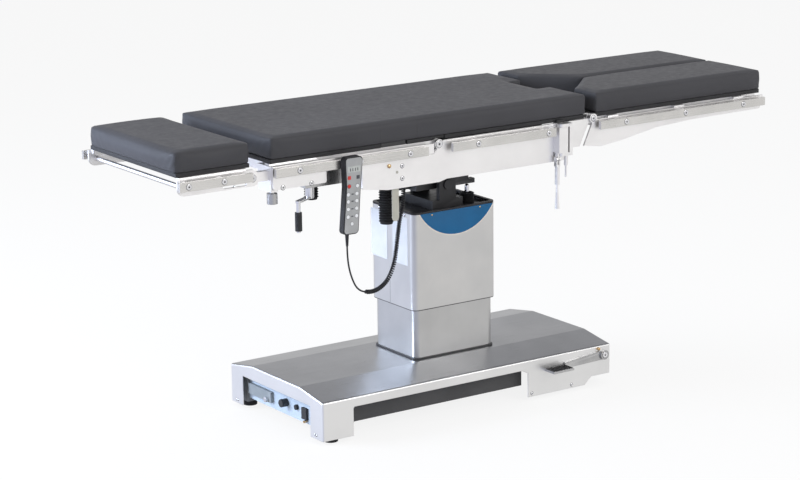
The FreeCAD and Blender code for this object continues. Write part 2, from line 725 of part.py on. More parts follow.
def tilt_saddle():
    plate = box("saddle_plate", ("-saddle_head_reach", "saddle_leg_reach"),
                ("-saddle_half_width", "saddle_half_width"), (saddle_foot, saddle_top))
    pieces = [plate]
    for low in ("-saddle_lug_inner-saddle_lug_long", "saddle_lug_inner"):
        span = (low, low + "+saddle_lug_long")
        pieces.append(rod("saddle_lug", "x", ("0", tilt_axis), "tilt_bearing_radius", *span))
        pieces.append(box("saddle_web", span, ("-tilt_bearing_radius", "tilt_bearing_radius"),
                          (tilt_axis, saddle_foot)))
    bore = rod("saddle_bore", "x", ("0", tilt_axis), "tilt_shaft_radius+running_gap",
               "-saddle_head_reach", "saddle_leg_reach")
    for x in ("-saddle_head_reach", "saddle_leg_reach-runner_block_long"):
        for sign in ("-", ""):
            middle = sign + "rail_track"
            pieces.append(box("runner_block", (x, x + "+runner_block_long"),
                              (middle + "-slide_rail_wide", middle + "+slide_rail_wide"),
                              (saddle_top, saddle_top + "+runner_block_tall")))
    slots = []
    for sign in ("-", ""):
        middle = sign + "rail_track"
        slots.append(box("runner_slot", ("-saddle_head_reach-past", "saddle_leg_reach+past"),
                         (middle + "-slide_rail_wide/2-air_gap", middle + "+slide_rail_wide/2+air_gap"),
                         (rail_foot + "-air_gap", rail_top)))
    return cut("tilt_saddle", fuse("saddle_weldment", *pieces), bore, *slots)


# Levels and widths that the table sections share
level_sizes = {
    "frame_tall": 83.5,
    "board_thick": 12,
    "board_half_width": 243,
    "pad_thick": 60.7,
    "pad_half_width": 247.5,
    "member_tall": 30,
    "member_inner": 215,
    "member_outer": 240,
    "side_rail_tall": 25,
    "side_rail_thick": 10,
    "side_rail_outer": 280,
    "side_rail_inner": "=side_rail_outer-side_rail_thick",
    "side_rail_below_board": 8,
    "rail_spacer_radius": 9,
    "plate_inner": 248,
    "plate_outer": 256,
}
add_sizes(level_sizes)
board_foot = "(%s+frame_tall)" % rail_top
board_top = "(%s+board_thick)" % board_foot
pad_foot = "(%s+air_gap)" % board_top
pad_top = "(%s+pad_thick)" % pad_foot
member_foot = "(%s-member_tall)" % board_foot
side_rail_top = "(%s-side_rail_below_board)" % board_foot
side_rail_foot = "(%s-side_rail_tall)" % side_rail_top
side_rail_middle = "(%s-side_rail_tall/2)" % side_rail_top


def out(low, high):
    """The same distances from the middle, on the near side."""
    return ("-(%s)" % high, "-(%s)" % low)


def side_rail(name, head, leg, spacers, inner):
    """A flat accessory rail, held off its plate by round spacers."""
    bar = box(name + "_bar", (head, leg), out("side_rail_inner", "side_rail_inner+side_rail_thick"),
              (side_rail_foot, side_rail_top))
    pieces = [bar]
    for x in spacers:
        pieces.append(rod(name + "_spacer", "y", (x, side_rail_middle), "rail_spacer_radius",
                          *out(inner, "side_rail_inner")))
    return fuse(name, *pieces)


# Table frame on the slide
table_frame_sizes = {
    "beam_inner": 125,
    "beam_outer": 155,
    "beam_wall": 4,
    "beam_head": 130,
    "beam_leg": 290,
    "cross_drop": 31,
    "cross_tall": 40,
    "cross_wide": 30,
    "cross_middle": 70,
    "cross_leg": 250,
    "back_hinge_reach": 156,
    "back_hinge_drop": 10,
    "hinge_eye_radius": 14,
    "hinge_pin_radius": 8,
    "hinge_pin_inner": 205,
    "deep_plate_reach": 421,
    "deep_plate_corner": 335,
    "deep_plate_drop": 120.5,
    "deep_plate_tip_rise": 12.5,
    "deep_plate_top_drop": 36,
    "deep_plate_top_leg": 175,
    "seat_plate_leg": 295,
    "seat_plate_drop": 114,
    "seat_plate_head": 130,
    "spread_pivot_x": 275,
    "spread_pivot_y": 268,
    "spread_pin_radius": 7,
    "pivot_block_head": 17,
    "pivot_block_leg": 16,
    "pivot_block_side": 13,
    "pivot_block_tall": 76,
    "spread_lug_tall": 10,
    "clamp_lug_thick": 5,
    "clamp_lug_half": 6,
    "clamp_axis_drop": 19,
    "clamp_pin_radius": 3,
    "seat_board_head": 128,
    "seat_board_leg": 380,
    "seat_notch_reach": 333,
    "seat_notch_half": 68,
    "seat_pad_head": 86,
    "seat_pad_leg": 386.5,
    "pad_notch_margin": 2,
    "seat_rail_head": 124,
    "seat_rail_leg": 248,
    "seat_spacer_head": 34,
    "seat_spacer_leg": 221,
    "slide_lever_x": 303,
    "slide_lever_below_board": 73,
    "slide_lever_half": 11.5,
    "slide_lever_long": 132.5,
    "slide_lever_thick": 3,
    "slide_lever_gap": 1,
    "slide_lever_pin": 4,
}
add_sizes(table_frame_sizes)
back_hinge = ("-back_hinge_reach", "(%s-back_hinge_drop)" % board_foot)
pivot_block_top = "(%s-spread_lug_tall)" % board_foot
pivot_block_foot = "(%s-pivot_block_tall)" % pivot_block_top
clamp_axis = "(%s-clamp_axis_drop)" % pivot_block_foot
clamp_lug_head = "(spread_pivot_x-pivot_block_head)"


def spread_pivot():
    return ("spread_pivot_x", "-spread_pivot_y")


def slide_lever_pivot():
    return ("-slide_lever_x", board_foot + "-slide_lever_below_board")


def frame_side_plate():
    """The near side plate with its hinge pin, leg pivot block and clamp lug."""
    plate_top, plate_foot = board_foot, "(%s-deep_plate_drop)" % board_foot
    shelf = "(%s-deep_plate_top_drop)" % board_foot
    seat_foot = "(%s-seat_plate_drop)" % board_foot
    outline = [("-deep_plate_reach", plate_foot + "+deep_plate_tip_rise"),
               ("-deep_plate_corner", plate_foot),
               ("-back_hinge_reach", plate_foot), ("-seat_plate_head", seat_foot),
               ("seat_plate_leg", seat_foot),
               ("seat_plate_leg", plate_top), ("-back_hinge_reach+hinge_eye_radius", plate_top),
               ("-deep_plate_top_leg", shelf), ("-deep_plate_reach", shelf)]
    plate = prism("side_plate", "xz", outline, *out("plate_inner", "plate_outer"),
                  [((0, 8), "cover_edge_radius")])
    eye = rod("side_plate_eye", "y", back_hinge, "hinge_eye_radius", *out("plate_inner", "plate_outer"))
    pin = rod("back_hinge_pin", "y", back_hinge, "hinge_pin_radius", *out("hinge_pin_inner", "plate_inner"))
    block = box("pivot_block", ("spread_pivot_x-pivot_block_head", "spread_pivot_x+pivot_block_leg"),
                out("plate_outer", "spread_pivot_y+pivot_block_side"), (pivot_block_foot, pivot_block_top))
    bore = rod("pivot_bore", "z", spread_pivot(), "spread_pin_radius+running_gap",
               pivot_block_foot + "-past", pivot_block_top + "+past")
    lug_span = (clamp_lug_head, clamp_lug_head + "+clamp_lug_thick")
    lug = box("clamp_lug", lug_span, out("spread_pivot_y-clamp_lug_half", "spread_pivot_y+clamp_lug_half"),
              (clamp_axis, pivot_block_foot))
    lug_end = rod("clamp_lug_end", "x", ("-spread_pivot_y", clamp_axis), "clamp_lug_half", *lug_span)
    lug_bore = rod("clamp_lug_bore", "x", ("-spread_pivot_y", clamp_axis), "clamp_pin_radius+running_gap",
                   *lug_span)
    lever_bore = rod("slide_lever_bore", "y", slide_lever_pivot(), "slide_lever_pin+running_gap",
                     *out("plate_inner-past", "plate_outer+past"))
    whole = fuse("side_plate_weldment", plate, eye, pin, block, lug, lug_end)
    return cut("frame_side_plate", whole, bore, lug_bore, lever_bore)


def frame_side_plates():
    return group("frame_side_plates", *both(frame_side_plate()))


def frame_cross_members():
    """Two hollow beams, the slide rails under them and the bars between and beside them."""
    beams = []
    for sign in ("-", ""):
        middle = sign + "rail_track"
        half = "(beam_outer-beam_inner)/2"
        shell = box("beam", ("-beam_head", "beam_leg"), (middle + "-" + half, middle + "+" + half),
                    (rail_top, board_foot))
        hollow = box("beam_hollow", ("-beam_head-past", "beam_leg+past"),
                     (middle + "-" + half + "+beam_wall", middle + "+" + half + "-beam_wall"),
                     (rail_top + "+beam_wall", board_foot + "-beam_wall"))
        rail = box("slide_rail", ("-slide_rail_head", "slide_rail_leg"),
                   (middle + "-slide_rail_wide/2", middle + "+slide_rail_wide/2"), (rail_foot, rail_top))
        beams.append(fuse("beam_with_rail", cut("hollow_beam", shell, hollow), rail))
    top = "(%s-cross_drop)" % board_foot
    level = (top + "-cross_tall", top)
    bars = []
    for x in ("-beam_head", "cross_middle", "cross_leg"):
        span = (x, x + "+cross_wide")
        bars.append(box("middle_bar", span, ("-beam_inner", "beam_inner"), level))
        bars.extend(both(box("side_bar", span, out("beam_outer", "plate_inner"), level)))
    return fuse("frame_cross_members", *beams, *bars)


def notched(name, head, leg, half, notch_reach, notch_half, low, high):
    """A board or pad with a square notch at its leg end."""
    plain = box(name + "_plain", (head, leg), ("-" + half, half), (low, high))
    notch = box(name + "_notch", (notch_reach, leg + "+past"), ("-(%s)" % notch_half, notch_half),
                (low + "-past", high + "+past"))
    return cut(name, plain, notch)


def seat_board():
    return notched("seat_board", "-seat_board_head", "seat_board_leg", "board_half_width", "seat_notch_reach",
                   "seat_notch_half", board_foot, board_top)


def seat_pad():
    return notched("seat_pad", "-seat_pad_head", "seat_pad_leg", "pad_half_width", "seat_notch_reach",
                   "seat_notch_half+pad_notch_margin", pad_foot, pad_top)


def seat_rails():
    rail = side_rail("seat_rail", "-seat_rail_head", "seat_rail_leg",
                     ("-seat_spacer_head", "seat_spacer_leg"), "plate_outer")
    return group("seat_rails", *both(rail))


def slide_lever():
    """A flat steel strip with a round end that hangs inside the near side plate."""
    x, z = slide_lever_pivot()
    face = "plate_inner-slide_lever_gap"
    span = out(face + "-slide_lever_thick", face)
    strip = box("lever_strip", (x + "-slide_lever_half", x + "+slide_lever_half"), span,
                (z + "-slide_lever_long", z))
    ends = [rod("lever_end", "y", (x, level), "slide_lever_half", *span)
            for level in (z, z + "-slide_lever_long")]
    pin = rod("lever_pin", "y", (x, z), "slide_lever_pin", *out(face, "plate_outer+slide_lever_gap"))
    return fuse("slide_lever", strip, *ends, pin)


# Back section
back_sizes = {
    "back_head": 715,
    "back_member_leg": 175,
    "back_cross_wide": 40,
    "back_cross_first": 700,
    "back_cross_second": 570,
    "back_cross_third": 440,
    "outboard_inner": 258.5,
    "outboard_thick": 5.5,
    "outboard_head": 719,
    "outboard_leg": 180,
    "outboard_top_drop": 4,
    "outboard_strip_drop": 33,
    "outboard_deep_leg": 545,
    "outboard_deep_drop": 69.5,
    "link_block_long": 140,
    "head_block_long": 22,
    "head_block_inner": 190,
    "head_block_drop": 76,
    "head_hinge_reach": 777.5,
    "head_hinge_drop": 29,
    "head_lug_inner": 236,
    "head_lug_outer": 249.5,
    "head_lug_radius": 14,
    "head_pin_radius": 8,
    "knob_x": 707,
    "knob_y": 238,
    "knob_radius": 15,
    "knob_tall": 30,
    "knob_shaft_radius": 4,
    "knob_shaft_up": 16,
    "knob_neck_tall": 6,
    "knob_neck_radius": 8,
    "kidney_x": 303.5,
    "kidney_y": 200,
    "kidney_rod_radius": 6,
    "kidney_block_half": 26.5,
    "kidney_block_inner": 180,
    "kidney_block_drop": 76,
    "kidney_block_top_drop": 6,
    "cord_socket_x": 264,
    "cord_socket_y": 230,
    "cord_socket_radius": 10,
    "cord_socket_tall": 61,
    "back_board_head": 714,
    "back_board_leg": 348,
    "hinge_board_head": 259,
    "hinge_board_leg": 171,
    "back_rail_head": 718,
    "back_rail_leg": 209,
    "back_spacer_head": 640,
    "back_spacer_middle": 440,
    "back_spacer_leg": 272,
    "back_pad_head": 714.5,
    "kidney_pad_head": 352.3,
    "kidney_pad_leg": 226.3,
    "gearbox_head": 600,
    "gearbox_leg": 480,
    "gearbox_inner": 200,
    "gearbox_tall": 54,
    "drive_shaft_radius": 6,
    "drive_shaft_y": 232,
    "drive_shaft_drop": 16,
    "crank_x": 575,
    "crank_y": 222,
    "crank_shaft_radius": 6,
    "crank_shaft_up": 18,
    "kidney_gaiter_radius": 22,
    "kidney_gaiter_wall": 2,
    "kidney_gaiter_pleats": 20,
    "kidney_gaiter_pitch": 7.6,
    "kidney_cap_thick": 4,
    "kidney_plate_head": 345,
    "kidney_plate_leg": 262,
    "kidney_plate_half": 240,
    "kidney_rod_below_board": 221,
}
add_sizes(back_sizes)
outboard_outer = "(outboard_inner+outboard_thick)"
outboard_top = "(%s-outboard_top_drop)" % board_foot
head_hinge = ("-head_hinge_reach", "(%s-head_hinge_drop)" % board_foot)
head_block_foot = "(%s-head_block_drop)" % board_foot
kidney_block_foot = "(%s-kidney_block_drop)" % board_foot
gearbox_foot = "(%s-gearbox_tall)" % member_foot


def kidney_spot():
    return ("-kidney_x", "-kidney_y")


def knob_spot():
    return ("-knob_x", "-knob_y")


def back_frame_side():
    """The near half of the back frame, without the bars across."""
    member = box("back_member", ("-back_head", "-back_member_leg"), out("member_inner", "member_outer"),
                 (member_foot, board_foot))
    tang = box("hinge_tang", ("-back_member_leg", "-back_hinge_reach"), out("member_inner", "member_outer"),
               (member_foot + "+cover_edge_radius", board_foot))
    lug = rod("back_hinge_lug", "y", back_hinge, "hinge_eye_radius", *out("member_inner", "member_outer"))
    deep = "(%s-outboard_deep_drop)" % board_foot
    strip = "(%s-outboard_strip_drop)" % board_foot
    plate = prism("outboard_plate", "xz", [
        ("-outboard_head", outboard_top), ("-outboard_leg", outboard_top), ("-outboard_leg", strip),
        ("-outboard_deep_leg", strip), ("-outboard_deep_leg", deep), ("-outboard_head", deep)],
        *out("outboard_inner", outboard_outer), [((4, 5), "cover_edge_radius")])
    link = box("link_block", ("-back_cross_first", "-back_cross_first+link_block_long"),
               out("member_outer", "outboard_inner"), (member_foot, outboard_top))
    head_block = box("head_block", ("-back_cross_first-head_block_long", "-back_cross_first"),
                     out("head_block_inner", "outboard_inner"),
                     (board_foot + "-head_block_drop", outboard_top))
    head_lug = rod("head_lug", "y", head_hinge, "head_lug_radius", *out("head_lug_inner", "head_lug_outer"))
    head_arm = box("head_lug_arm", ("-head_hinge_reach", "-back_cross_first-head_block_long"),
                   out("head_lug_inner", "head_lug_outer"),
                   (head_hinge[1] + "-head_lug_radius", head_hinge[1] + "+head_lug_radius"))
    guide = box("kidney_guide", ("-kidney_x-kidney_block_half", "-kidney_x+kidney_block_half"),
                out("kidney_block_inner", "member_inner"),
                (kidney_block_foot, board_foot + "-kidney_block_top_drop"))
    gear_case = box("kidney_gear_case", ("-kidney_x-kidney_block_half", "-kidney_x+kidney_block_half"),
                    out("member_inner", "member_outer"), (member_foot + "-member_tall", member_foot))
    bores = [rod("back_hinge_bore", "y", back_hinge, "hinge_pin_radius+running_gap",
                 *out("member_inner", "member_outer")),
             rod("head_hinge_bore", "y", head_hinge, "head_pin_radius+running_gap",
                 *out("head_lug_inner", "head_lug_outer")),
             rod("kidney_bore", "z", kidney_spot(), "kidney_rod_radius+running_gap", kidney_block_foot,
                 board_foot),
             rod("knob_bore", "z", knob_spot(), "knob_shaft_radius+running_gap", head_block_foot,
                 head_block_foot + "+knob_shaft_up+air_gap")]
    whole = fuse("back_side_weldment", member, tang, lug, plate, link, head_block, head_lug, head_arm,
                 guide, gear_case)
    return cut("back_frame_side", whole, *bores)


def back_frame():
    bars = []
    for x in ("back_cross_first", "back_cross_second", "back_cross_third"):
        bars.append(box("back_bar", ("-" + x, "-" + x + "+back_cross_wide"),
                        ("-member_inner", "member_inner"), (member_foot, board_foot)))
    socket = rod("cord_socket", "z", ("-cord_socket_x", "-cord_socket_y"), "cord_socket_radius",
                 member_foot + "-cord_socket_tall", member_foot)
    return fuse("back_frame", *both(back_frame_side()), *bars, socket)


def back_board():
    """The back board and the narrow board beside the hinge."""
    level = (board_foot, board_top)
    across = ("-board_half_width", "board_half_width")
    return group("back_board", box("long_board", ("-back_board_head", "-back_board_leg"), across, level),
                 box("hinge_board", ("-hinge_board_head", "-hinge_board_leg"), across, level))


def back_rails():
    rail = side_rail("back_rail", "-back_rail_head", "-back_rail_leg",
                     ("-back_spacer_head", "-back_spacer_middle", "-back_spacer_leg"), outboard_outer)
    return group("back_rails", *both(rail))


def plain_pad(name, head, leg):
    return box(name, (head, leg), ("-pad_half_width", "pad_half_width"), (pad_foot, pad_top))


def crank_gearbox():
    """The gearbox under the near member and the shaft to the kidney bridge."""
    case = box("gearbox_case", ("-gearbox_head", "-gearbox_leg"), out("gearbox_inner", "member_outer"),
               (gearbox_foot, member_foot))
    bore = rod("crank_bore", "z", ("-crank_x", "-crank_y"), "crank_shaft_radius+running_gap",
               gearbox_foot, gearbox_foot + "+crank_shaft_up+air_gap")
    shaft = rod("drive_shaft", "x", ("-drive_shaft_y", member_foot + "-drive_shaft_drop"),
                "drive_shaft_radius", "-gearbox_leg", "-kidney_x-kidney_block_half")
    return group("crank_gearbox", cut("gearbox", case, bore), shaft)


def kidney_gaiter():
    """A folded sleeve, closed at the bottom, that hides the end of a bridge rod."""
    low = "(%s-kidney_gaiter_pleats*kidney_gaiter_pitch)" % kidney_block_foot
    sleeve = gaiter("kidney_gaiter", kidney_spot(), "kidney_gaiter_radius", "kidney_gaiter_wall",
                    "kidney_gaiter_pleats", "kidney_gaiter_pitch", low)
    cap = rod("kidney_cap", "z", kidney_spot(), "kidney_gaiter_radius-gaiter_fold",
              low + "-kidney_cap_thick", low)
    return fuse("kidney_gaiter_closed", sleeve, cap)


def kidney_gaiters():
    return group("kidney_gaiters", *both(kidney_gaiter()))


def kidney_bridge():
    plate = box("kidney_plate", ("-kidney_plate_head", "-kidney_plate_leg"),
                ("-kidney_plate_half", "kidney_plate_half"), (board_foot + "+air_gap", board_top))
    post = rod("kidney_rod", "z", kidney_spot(), "kidney_rod_radius",
               board_foot + "-kidney_rod_below_board", board_foot + "+air_gap")
    return fuse("kidney_bridge", plate, *both(post))


# Crank under the back section
crank_sizes = {
    "crank_socket_radius": 13,
    "crank_socket_tall": 26,
    "crank_arm_thick": 6,
    "crank_arm_half": 8,
    "crank_grip_x": 635,
    "crank_grip_y": 257,
    "crank_pin_radius": 4,
    "crank_grip_radius": 10,
    "crank_collar_tall": 26.7,
    "crank_grip_long": 53,
    "crank_nut_radius": 6,
    "crank_nut_tall": 4,
}
add_sizes(crank_sizes)
crank_socket_top = "(%s-air_gap)" % gearbox_foot
crank_arm_foot = "(%s-crank_socket_tall-crank_arm_thick)" % crank_socket_top
crank_grip_top = "(%s-crank_collar_tall)" % crank_arm_foot
crank_grip_foot = "(%s-crank_grip_long)" % crank_grip_top


def grip_spot():
    return ("-crank_grip_x", "-crank_grip_y")


def crank_handle():
    spot = ("-crank_x", "-crank_y")
    shaft = rod("crank_shaft", "z", spot, "crank_shaft_radius", crank_socket_top,
                gearbox_foot + "+crank_shaft_up")
    socket = rod("crank_socket", "z", spot, "crank_socket_radius", crank_arm_foot, crank_socket_top)
    reach = "sqrt((crank_grip_x-crank_x)^2+(crank_grip_y-crank_y)^2)"
    arm = doc.addObject("Part::Box", "crank_arm")
    arm.setExpression("Length", bound(reach))
    arm.setExpression("Width", bound("2*crank_arm_half"))
    arm.setExpression("Height", bound("crank_arm_thick"))
    angle = "atan((crank_grip_y-crank_y)/(crank_grip_x-crank_x))"
    arm.setExpression("Placement.Rotation.Angle", bound("180deg+" + angle))
    place(arm, "-crank_x-crank_arm_half*sin(%s)" % angle, "-crank_y+crank_arm_half*cos(%s)" % angle,
          crank_arm_foot)
    boss = rod("crank_boss", "z", grip_spot(), "crank_arm_half", crank_arm_foot,
               crank_arm_foot + "+crank_arm_thick")
    pin = rod("crank_pin", "z", grip_spot(), "crank_pin_radius", crank_grip_foot + "-air_gap", crank_arm_foot)
    nut = rod("crank_nut", "z", grip_spot(), "crank_nut_radius", crank_grip_foot + "-air_gap-crank_nut_tall",
              crank_grip_foot + "-air_gap")
    collar = rod("crank_collar", "z", grip_spot(), "crank_nut_radius", crank_grip_top + "+air_gap",
                 crank_arm_foot)
    return fuse("crank_handle", shaft, socket, arm, boss, pin, nut, collar)


def crank_grip():
    span = (crank_grip_foot, crank_grip_top)
    return cut("crank_grip", rod("grip_sleeve", "z", grip_spot(), "crank_grip_radius", *span),
               rod("grip_bore", "z", grip_spot(), "crank_pin_radius+running_gap", *span))


# Head section and its clamping knobs
head_sizes = {
    "head_plate_inner": 250,
    "head_plate_outer": 256,
    "head_plate_reach": 1013,
    "head_plate_low_drop": 50,
    "head_plate_top_drop": 4,
    "head_plate_corner": 22,
    "head_eye_radius": 21,
    "head_slot_first": 854,
    "head_slot_second": 816,
    "head_slot_drop": 42,
    "head_slot_radius": 4,
    "head_slot_long": 14,
    "head_crossbar_x": 985,
    "head_crossbar_drop": 31,
    "head_crossbar_radius": 7,
    "head_bar_inner": 236,
    "head_bar_head": 1005,
    "head_bar_leg": 795,
    "head_bar_tall": 12,
    "head_rail_head": 1019,
    "head_rail_leg": 790,
    "head_spacer_head": 991,
    "head_spacer_leg": 881,
    "head_board_head": 1010,
    "head_board_leg": 780,
    "head_pad_head": 1016.5,
    "head_pad_leg": 772.8,
    "head_pad_thick": 57.7,
}
add_sizes(head_sizes)


def head_side():
    """The near side of the head frame: slotted plate, bar, pin and rail."""
    x, z = head_hinge
    top, low = "(%s-head_plate_top_drop)" % board_foot, "(%s-head_plate_low_drop)" % board_foot
    plate = prism("head_plate", "xz", [("-head_plate_reach", low), (x, low), (x, top),
                                       ("-head_plate_reach", top)],
                  *out("head_plate_inner", "head_plate_outer"), [((0,), "head_plate_corner")])
    eye = rod("head_plate_eye", "y", head_hinge, "head_eye_radius",
              *out("head_plate_inner", "head_plate_outer"))
    bar = box("head_bar", ("-head_bar_head", "-head_bar_leg"), out("head_bar_inner", "head_plate_inner"),
              (board_foot + "-head_bar_tall", board_foot))
    pin = rod("head_pin", "y", head_hinge, "head_pin_radius", *out("head_bar_inner", "head_plate_outer"))
    rail = side_rail("head_rail", "-head_rail_head", "-head_rail_leg",
                     ("-head_spacer_head", "-head_spacer_leg"), "head_plate_outer")
    slots = []
    level = "(%s-head_slot_drop)" % board_foot
    for middle in ("-head_slot_first", "-head_slot_second"):
        span = out("head_plate_inner-past", "head_plate_outer+past")
        ends = (middle + "-head_slot_long", middle + "+head_slot_long")
        slots.append(box("head_slot", ends, span, (level + "-head_slot_radius", level + "+head_slot_radius")))
        slots.extend(rod("head_slot_end", "y", (end, level), "head_slot_radius", *span) for end in ends)
    return cut("head_side", fuse("head_side_weldment", plate, eye, bar, pin, rail), *slots)


def head_frame():
    crossbar = rod("head_crossbar", "y", ("-head_crossbar_x", board_foot + "-head_crossbar_drop"),
                   "head_crossbar_radius", "-head_plate_inner", "head_plate_inner")
    return fuse("head_frame", *both(head_side()), crossbar)


def head_board():
    return box("head_board", ("-head_board_head", "-head_board_leg"),
               ("-board_half_width", "board_half_width"), (board_foot, board_top))


def head_pad():
    return box("head_pad", ("-head_pad_head", "-head_pad_leg"), ("-pad_half_width", "pad_half_width"),
               (pad_foot, pad_foot + "+head_pad_thick"))


def head_knob():
    neck = head_block_foot + "-air_gap"
    top = neck + "-knob_neck_tall"
    return fuse("head_knob",
                rod("knob_shaft", "z", knob_spot(), "knob_shaft_radius", top,
                    head_block_foot + "+knob_shaft_up"),
                rod("knob_neck", "z", knob_spot(), "knob_neck_radius", top, neck),
                rod("knob_grip", "z", knob_spot(), "knob_radius", top + "-knob_tall", top))


# Legs: spreading brackets and the two halves of the leg section
leg_sizes = {
    "spread_lug_radius": 11.5,
    "spread_lower_lug_tall": 9.7,
    "bracket_web_head": 22,
    "bracket_web_leg": 34,
    "bracket_outer": 280,
    "bracket_inner": 246,
    "leg_hinge_x": 402,
    "leg_shaft_radius": 8,
    "bracket_plate_outer": 254.5,
    "bracket_plate_foot": 80,
    "bracket_plate_corner": 355,
    "bracket_plate_neck": 388,
    "bracket_eye_radius": 13,
    "bracket_beam_head": 340,
    "bracket_beam_leg": 370,
    "bracket_beam_inner": 146,
    "bracket_beam_drop": 6,
    "inner_ear_thick": 10,
    "inner_ear_radius": 12,
    "stop_rod_x": 303,
    "stop_rod_y": 255,
    "stop_fitting_radius": 6,
    "stop_fitting_tall": 34,
    "stop_rod_radius": 3,
    "stop_rod_tall": 35,
    "leg_plate_inner": 255,
    "leg_plate_outer": 261,
    "leg_reach": 1075,
    "leg_barrel_radius": 12,
    "leg_barrel_inner": 160,
    "leg_barrel_wide": 15,
    "leg_barrel_outer": 225,
    "leg_tube_head": 425,
    "leg_tube_leg": 1060,
    "leg_tube_wide": 20,
    "leg_tube_inner": 20,
    "leg_tube_start": 570,
    "leg_bar_wide": 30,
    "leg_bar_middle": 800,
    "leg_link_first": 462,
    "leg_link_second": 720,
    "leg_link_third": 960,
    "leg_link_long": 40,
    "leg_rail_head": 415,
    "leg_rail_leg": 1068,
    "leg_spacer_first": 514,
    "leg_spacer_second": 746,
    "leg_spacer_third": 979,
    "leg_board_head": 415,
    "leg_board_inner": 5,
    "leg_notch_y": 137,
    "leg_notch_x": 567,
    "leg_pad_head": 419.4,
    "leg_pad_leg": 1078.4,
    "leg_pad_inner": 2,
    "leg_pad_notch_y": 140,
    "leg_pad_notch_x": 564,
}
add_sizes(leg_sizes)
leg_hinge = ("leg_hinge_x", board_foot)
bracket_foot = "(%s-spread_lower_lug_tall-air_gap)" % pivot_block_foot
beam_top = "(%s-bracket_beam_drop)" % board_foot


def leg_bracket():
    """The near bracket: two lugs on the spread pin, a web, a plate, a beam and the leg shaft."""
    web_head, web_leg = "spread_pivot_x+bracket_web_head", "spread_pivot_x+bracket_web_leg"
    pieces = [rod("spread_pin", "z", spread_pivot(), "spread_pin_radius", bracket_foot, board_foot)]
    for span in ((pivot_block_top + "+air_gap", board_foot), (bracket_foot, pivot_block_foot + "-air_gap")):
        pieces.append(rod("spread_lug_end", "z", spread_pivot(), "spread_lug_radius", *span))
        pieces.append(box("spread_lug", ("spread_pivot_x", web_leg),
                          out("spread_pivot_y-spread_lug_radius", "spread_pivot_y+spread_lug_radius"), span))
    pieces.append(box("bracket_web", (web_head, web_leg), out("bracket_inner", "bracket_outer"),
                      (bracket_foot, board_foot)))
    low = "(%s-bracket_plate_foot)" % board_foot
    pieces.append(prism("bracket_plate", "xz",
                        [(web_head, low), ("bracket_plate_corner", low),
                         ("bracket_plate_neck", board_foot + "-bracket_eye_radius"),
                         ("leg_hinge_x", board_foot + "-bracket_eye_radius"), ("leg_hinge_x", board_foot),
                         (web_head, board_foot)], *out("bracket_inner", "bracket_plate_outer")))
    pieces.append(rod("bracket_eye", "y", leg_hinge, "bracket_eye_radius",
                      *out("bracket_inner", "bracket_plate_outer")))
    pieces.append(box("bracket_beam", ("bracket_beam_head", "bracket_beam_leg"),
                      out("bracket_beam_inner", "bracket_inner"), (beam_top + "-member_tall", beam_top)))
    ear = out("bracket_beam_inner", "bracket_beam_inner+inner_ear_thick")
    pieces.append(box("inner_ear_arm", ("bracket_beam_leg", "leg_hinge_x"), ear,
                      (beam_top + "-leg_tube_wide", beam_top)))
    pieces.append(rod("inner_ear", "y", leg_hinge, "inner_ear_radius", *ear))
    pieces.append(rod("leg_shaft", "y", leg_hinge, "leg_shaft_radius",
                      *out("bracket_beam_inner", "bracket_plate_outer")))
    stop = ("stop_rod_x", "-stop_rod_y")
    pieces.append(rod("stop_fitting", "z", stop, "stop_fitting_radius", bracket_foot + "-stop_fitting_tall",
                      bracket_foot))
    pieces.append(rod("stop_rod", "z", stop, "stop_rod_radius",
                      bracket_foot + "-stop_fitting_tall-stop_rod_tall", bracket_foot + "-stop_fitting_tall"))
    return fuse("leg_bracket", *pieces)


def leg_frame():
    """The near leg frame: deep side plate, two long tubes, bars, hinge barrels and rail."""

    def below(drop):
        return "(%s-%s)" % (board_foot, drop)

    outline = [("leg_hinge_x-35.5", below("79")), ("leg_hinge_x+29", below("88")),
               ("leg_hinge_x+106", below("79")),
               ("leg_hinge_x+242", below("56")), ("leg_hinge_x+381", below("48")),
               ("leg_reach-14", below("45.5")),
               ("leg_reach", below("23")), ("leg_reach", below("4")), ("leg_hinge_x", below("4"))]
    side = out("leg_plate_inner", "leg_plate_outer")
    pieces = [prism("leg_plate", "xz", outline, *side),
              rod("leg_eye", "y", leg_hinge, "hinge_eye_radius", *side)]
    level = (member_foot, board_foot)
    pieces.append(box("outer_tube", ("leg_tube_head", "leg_tube_leg"), out("member_inner", "member_outer"),
                      level))
    pieces.append(box("inner_tube", ("leg_tube_start", "leg_tube_leg"),
                      out("leg_tube_inner", "leg_tube_inner+leg_tube_wide"), level))
    pieces.append(box("hinge_bar", ("leg_tube_head", "leg_tube_head+leg_bar_wide"),
                      out("leg_barrel_inner", "member_inner"), level))
    for x in ("leg_tube_start", "leg_bar_middle", "leg_tube_leg-leg_bar_wide"):
        pieces.append(box("leg_bar", (x, x + "+leg_bar_wide"),
                          out("leg_tube_inner+leg_tube_wide", "member_inner"), level))
    for x in ("leg_link_first", "leg_link_second", "leg_link_third"):
        pieces.append(box("leg_link", (x, x + "+leg_link_long"), out("member_outer", "leg_plate_inner"),
                          level))
    bores = []
    for inner in ("leg_barrel_inner", "leg_barrel_outer"):
        span = out(inner, inner + "+leg_barrel_wide")
        pieces.append(rod("leg_barrel", "y", leg_hinge, "leg_barrel_radius", *span))
        pieces.append(box("leg_barrel_arm", ("leg_hinge_x", "leg_tube_head"), span,
                          (below("24"), below("4"))))
        bores.append(rod("leg_bore", "y", leg_hinge, "leg_shaft_radius+running_gap", *span))
    pieces.append(side_rail("leg_rail", "leg_rail_head", "leg_rail_leg",
                            ("leg_spacer_first", "leg_spacer_second", "leg_spacer_third"), "leg_plate_outer"))
    return cut("leg_frame", fuse("leg_weldment", *pieces), *bores)


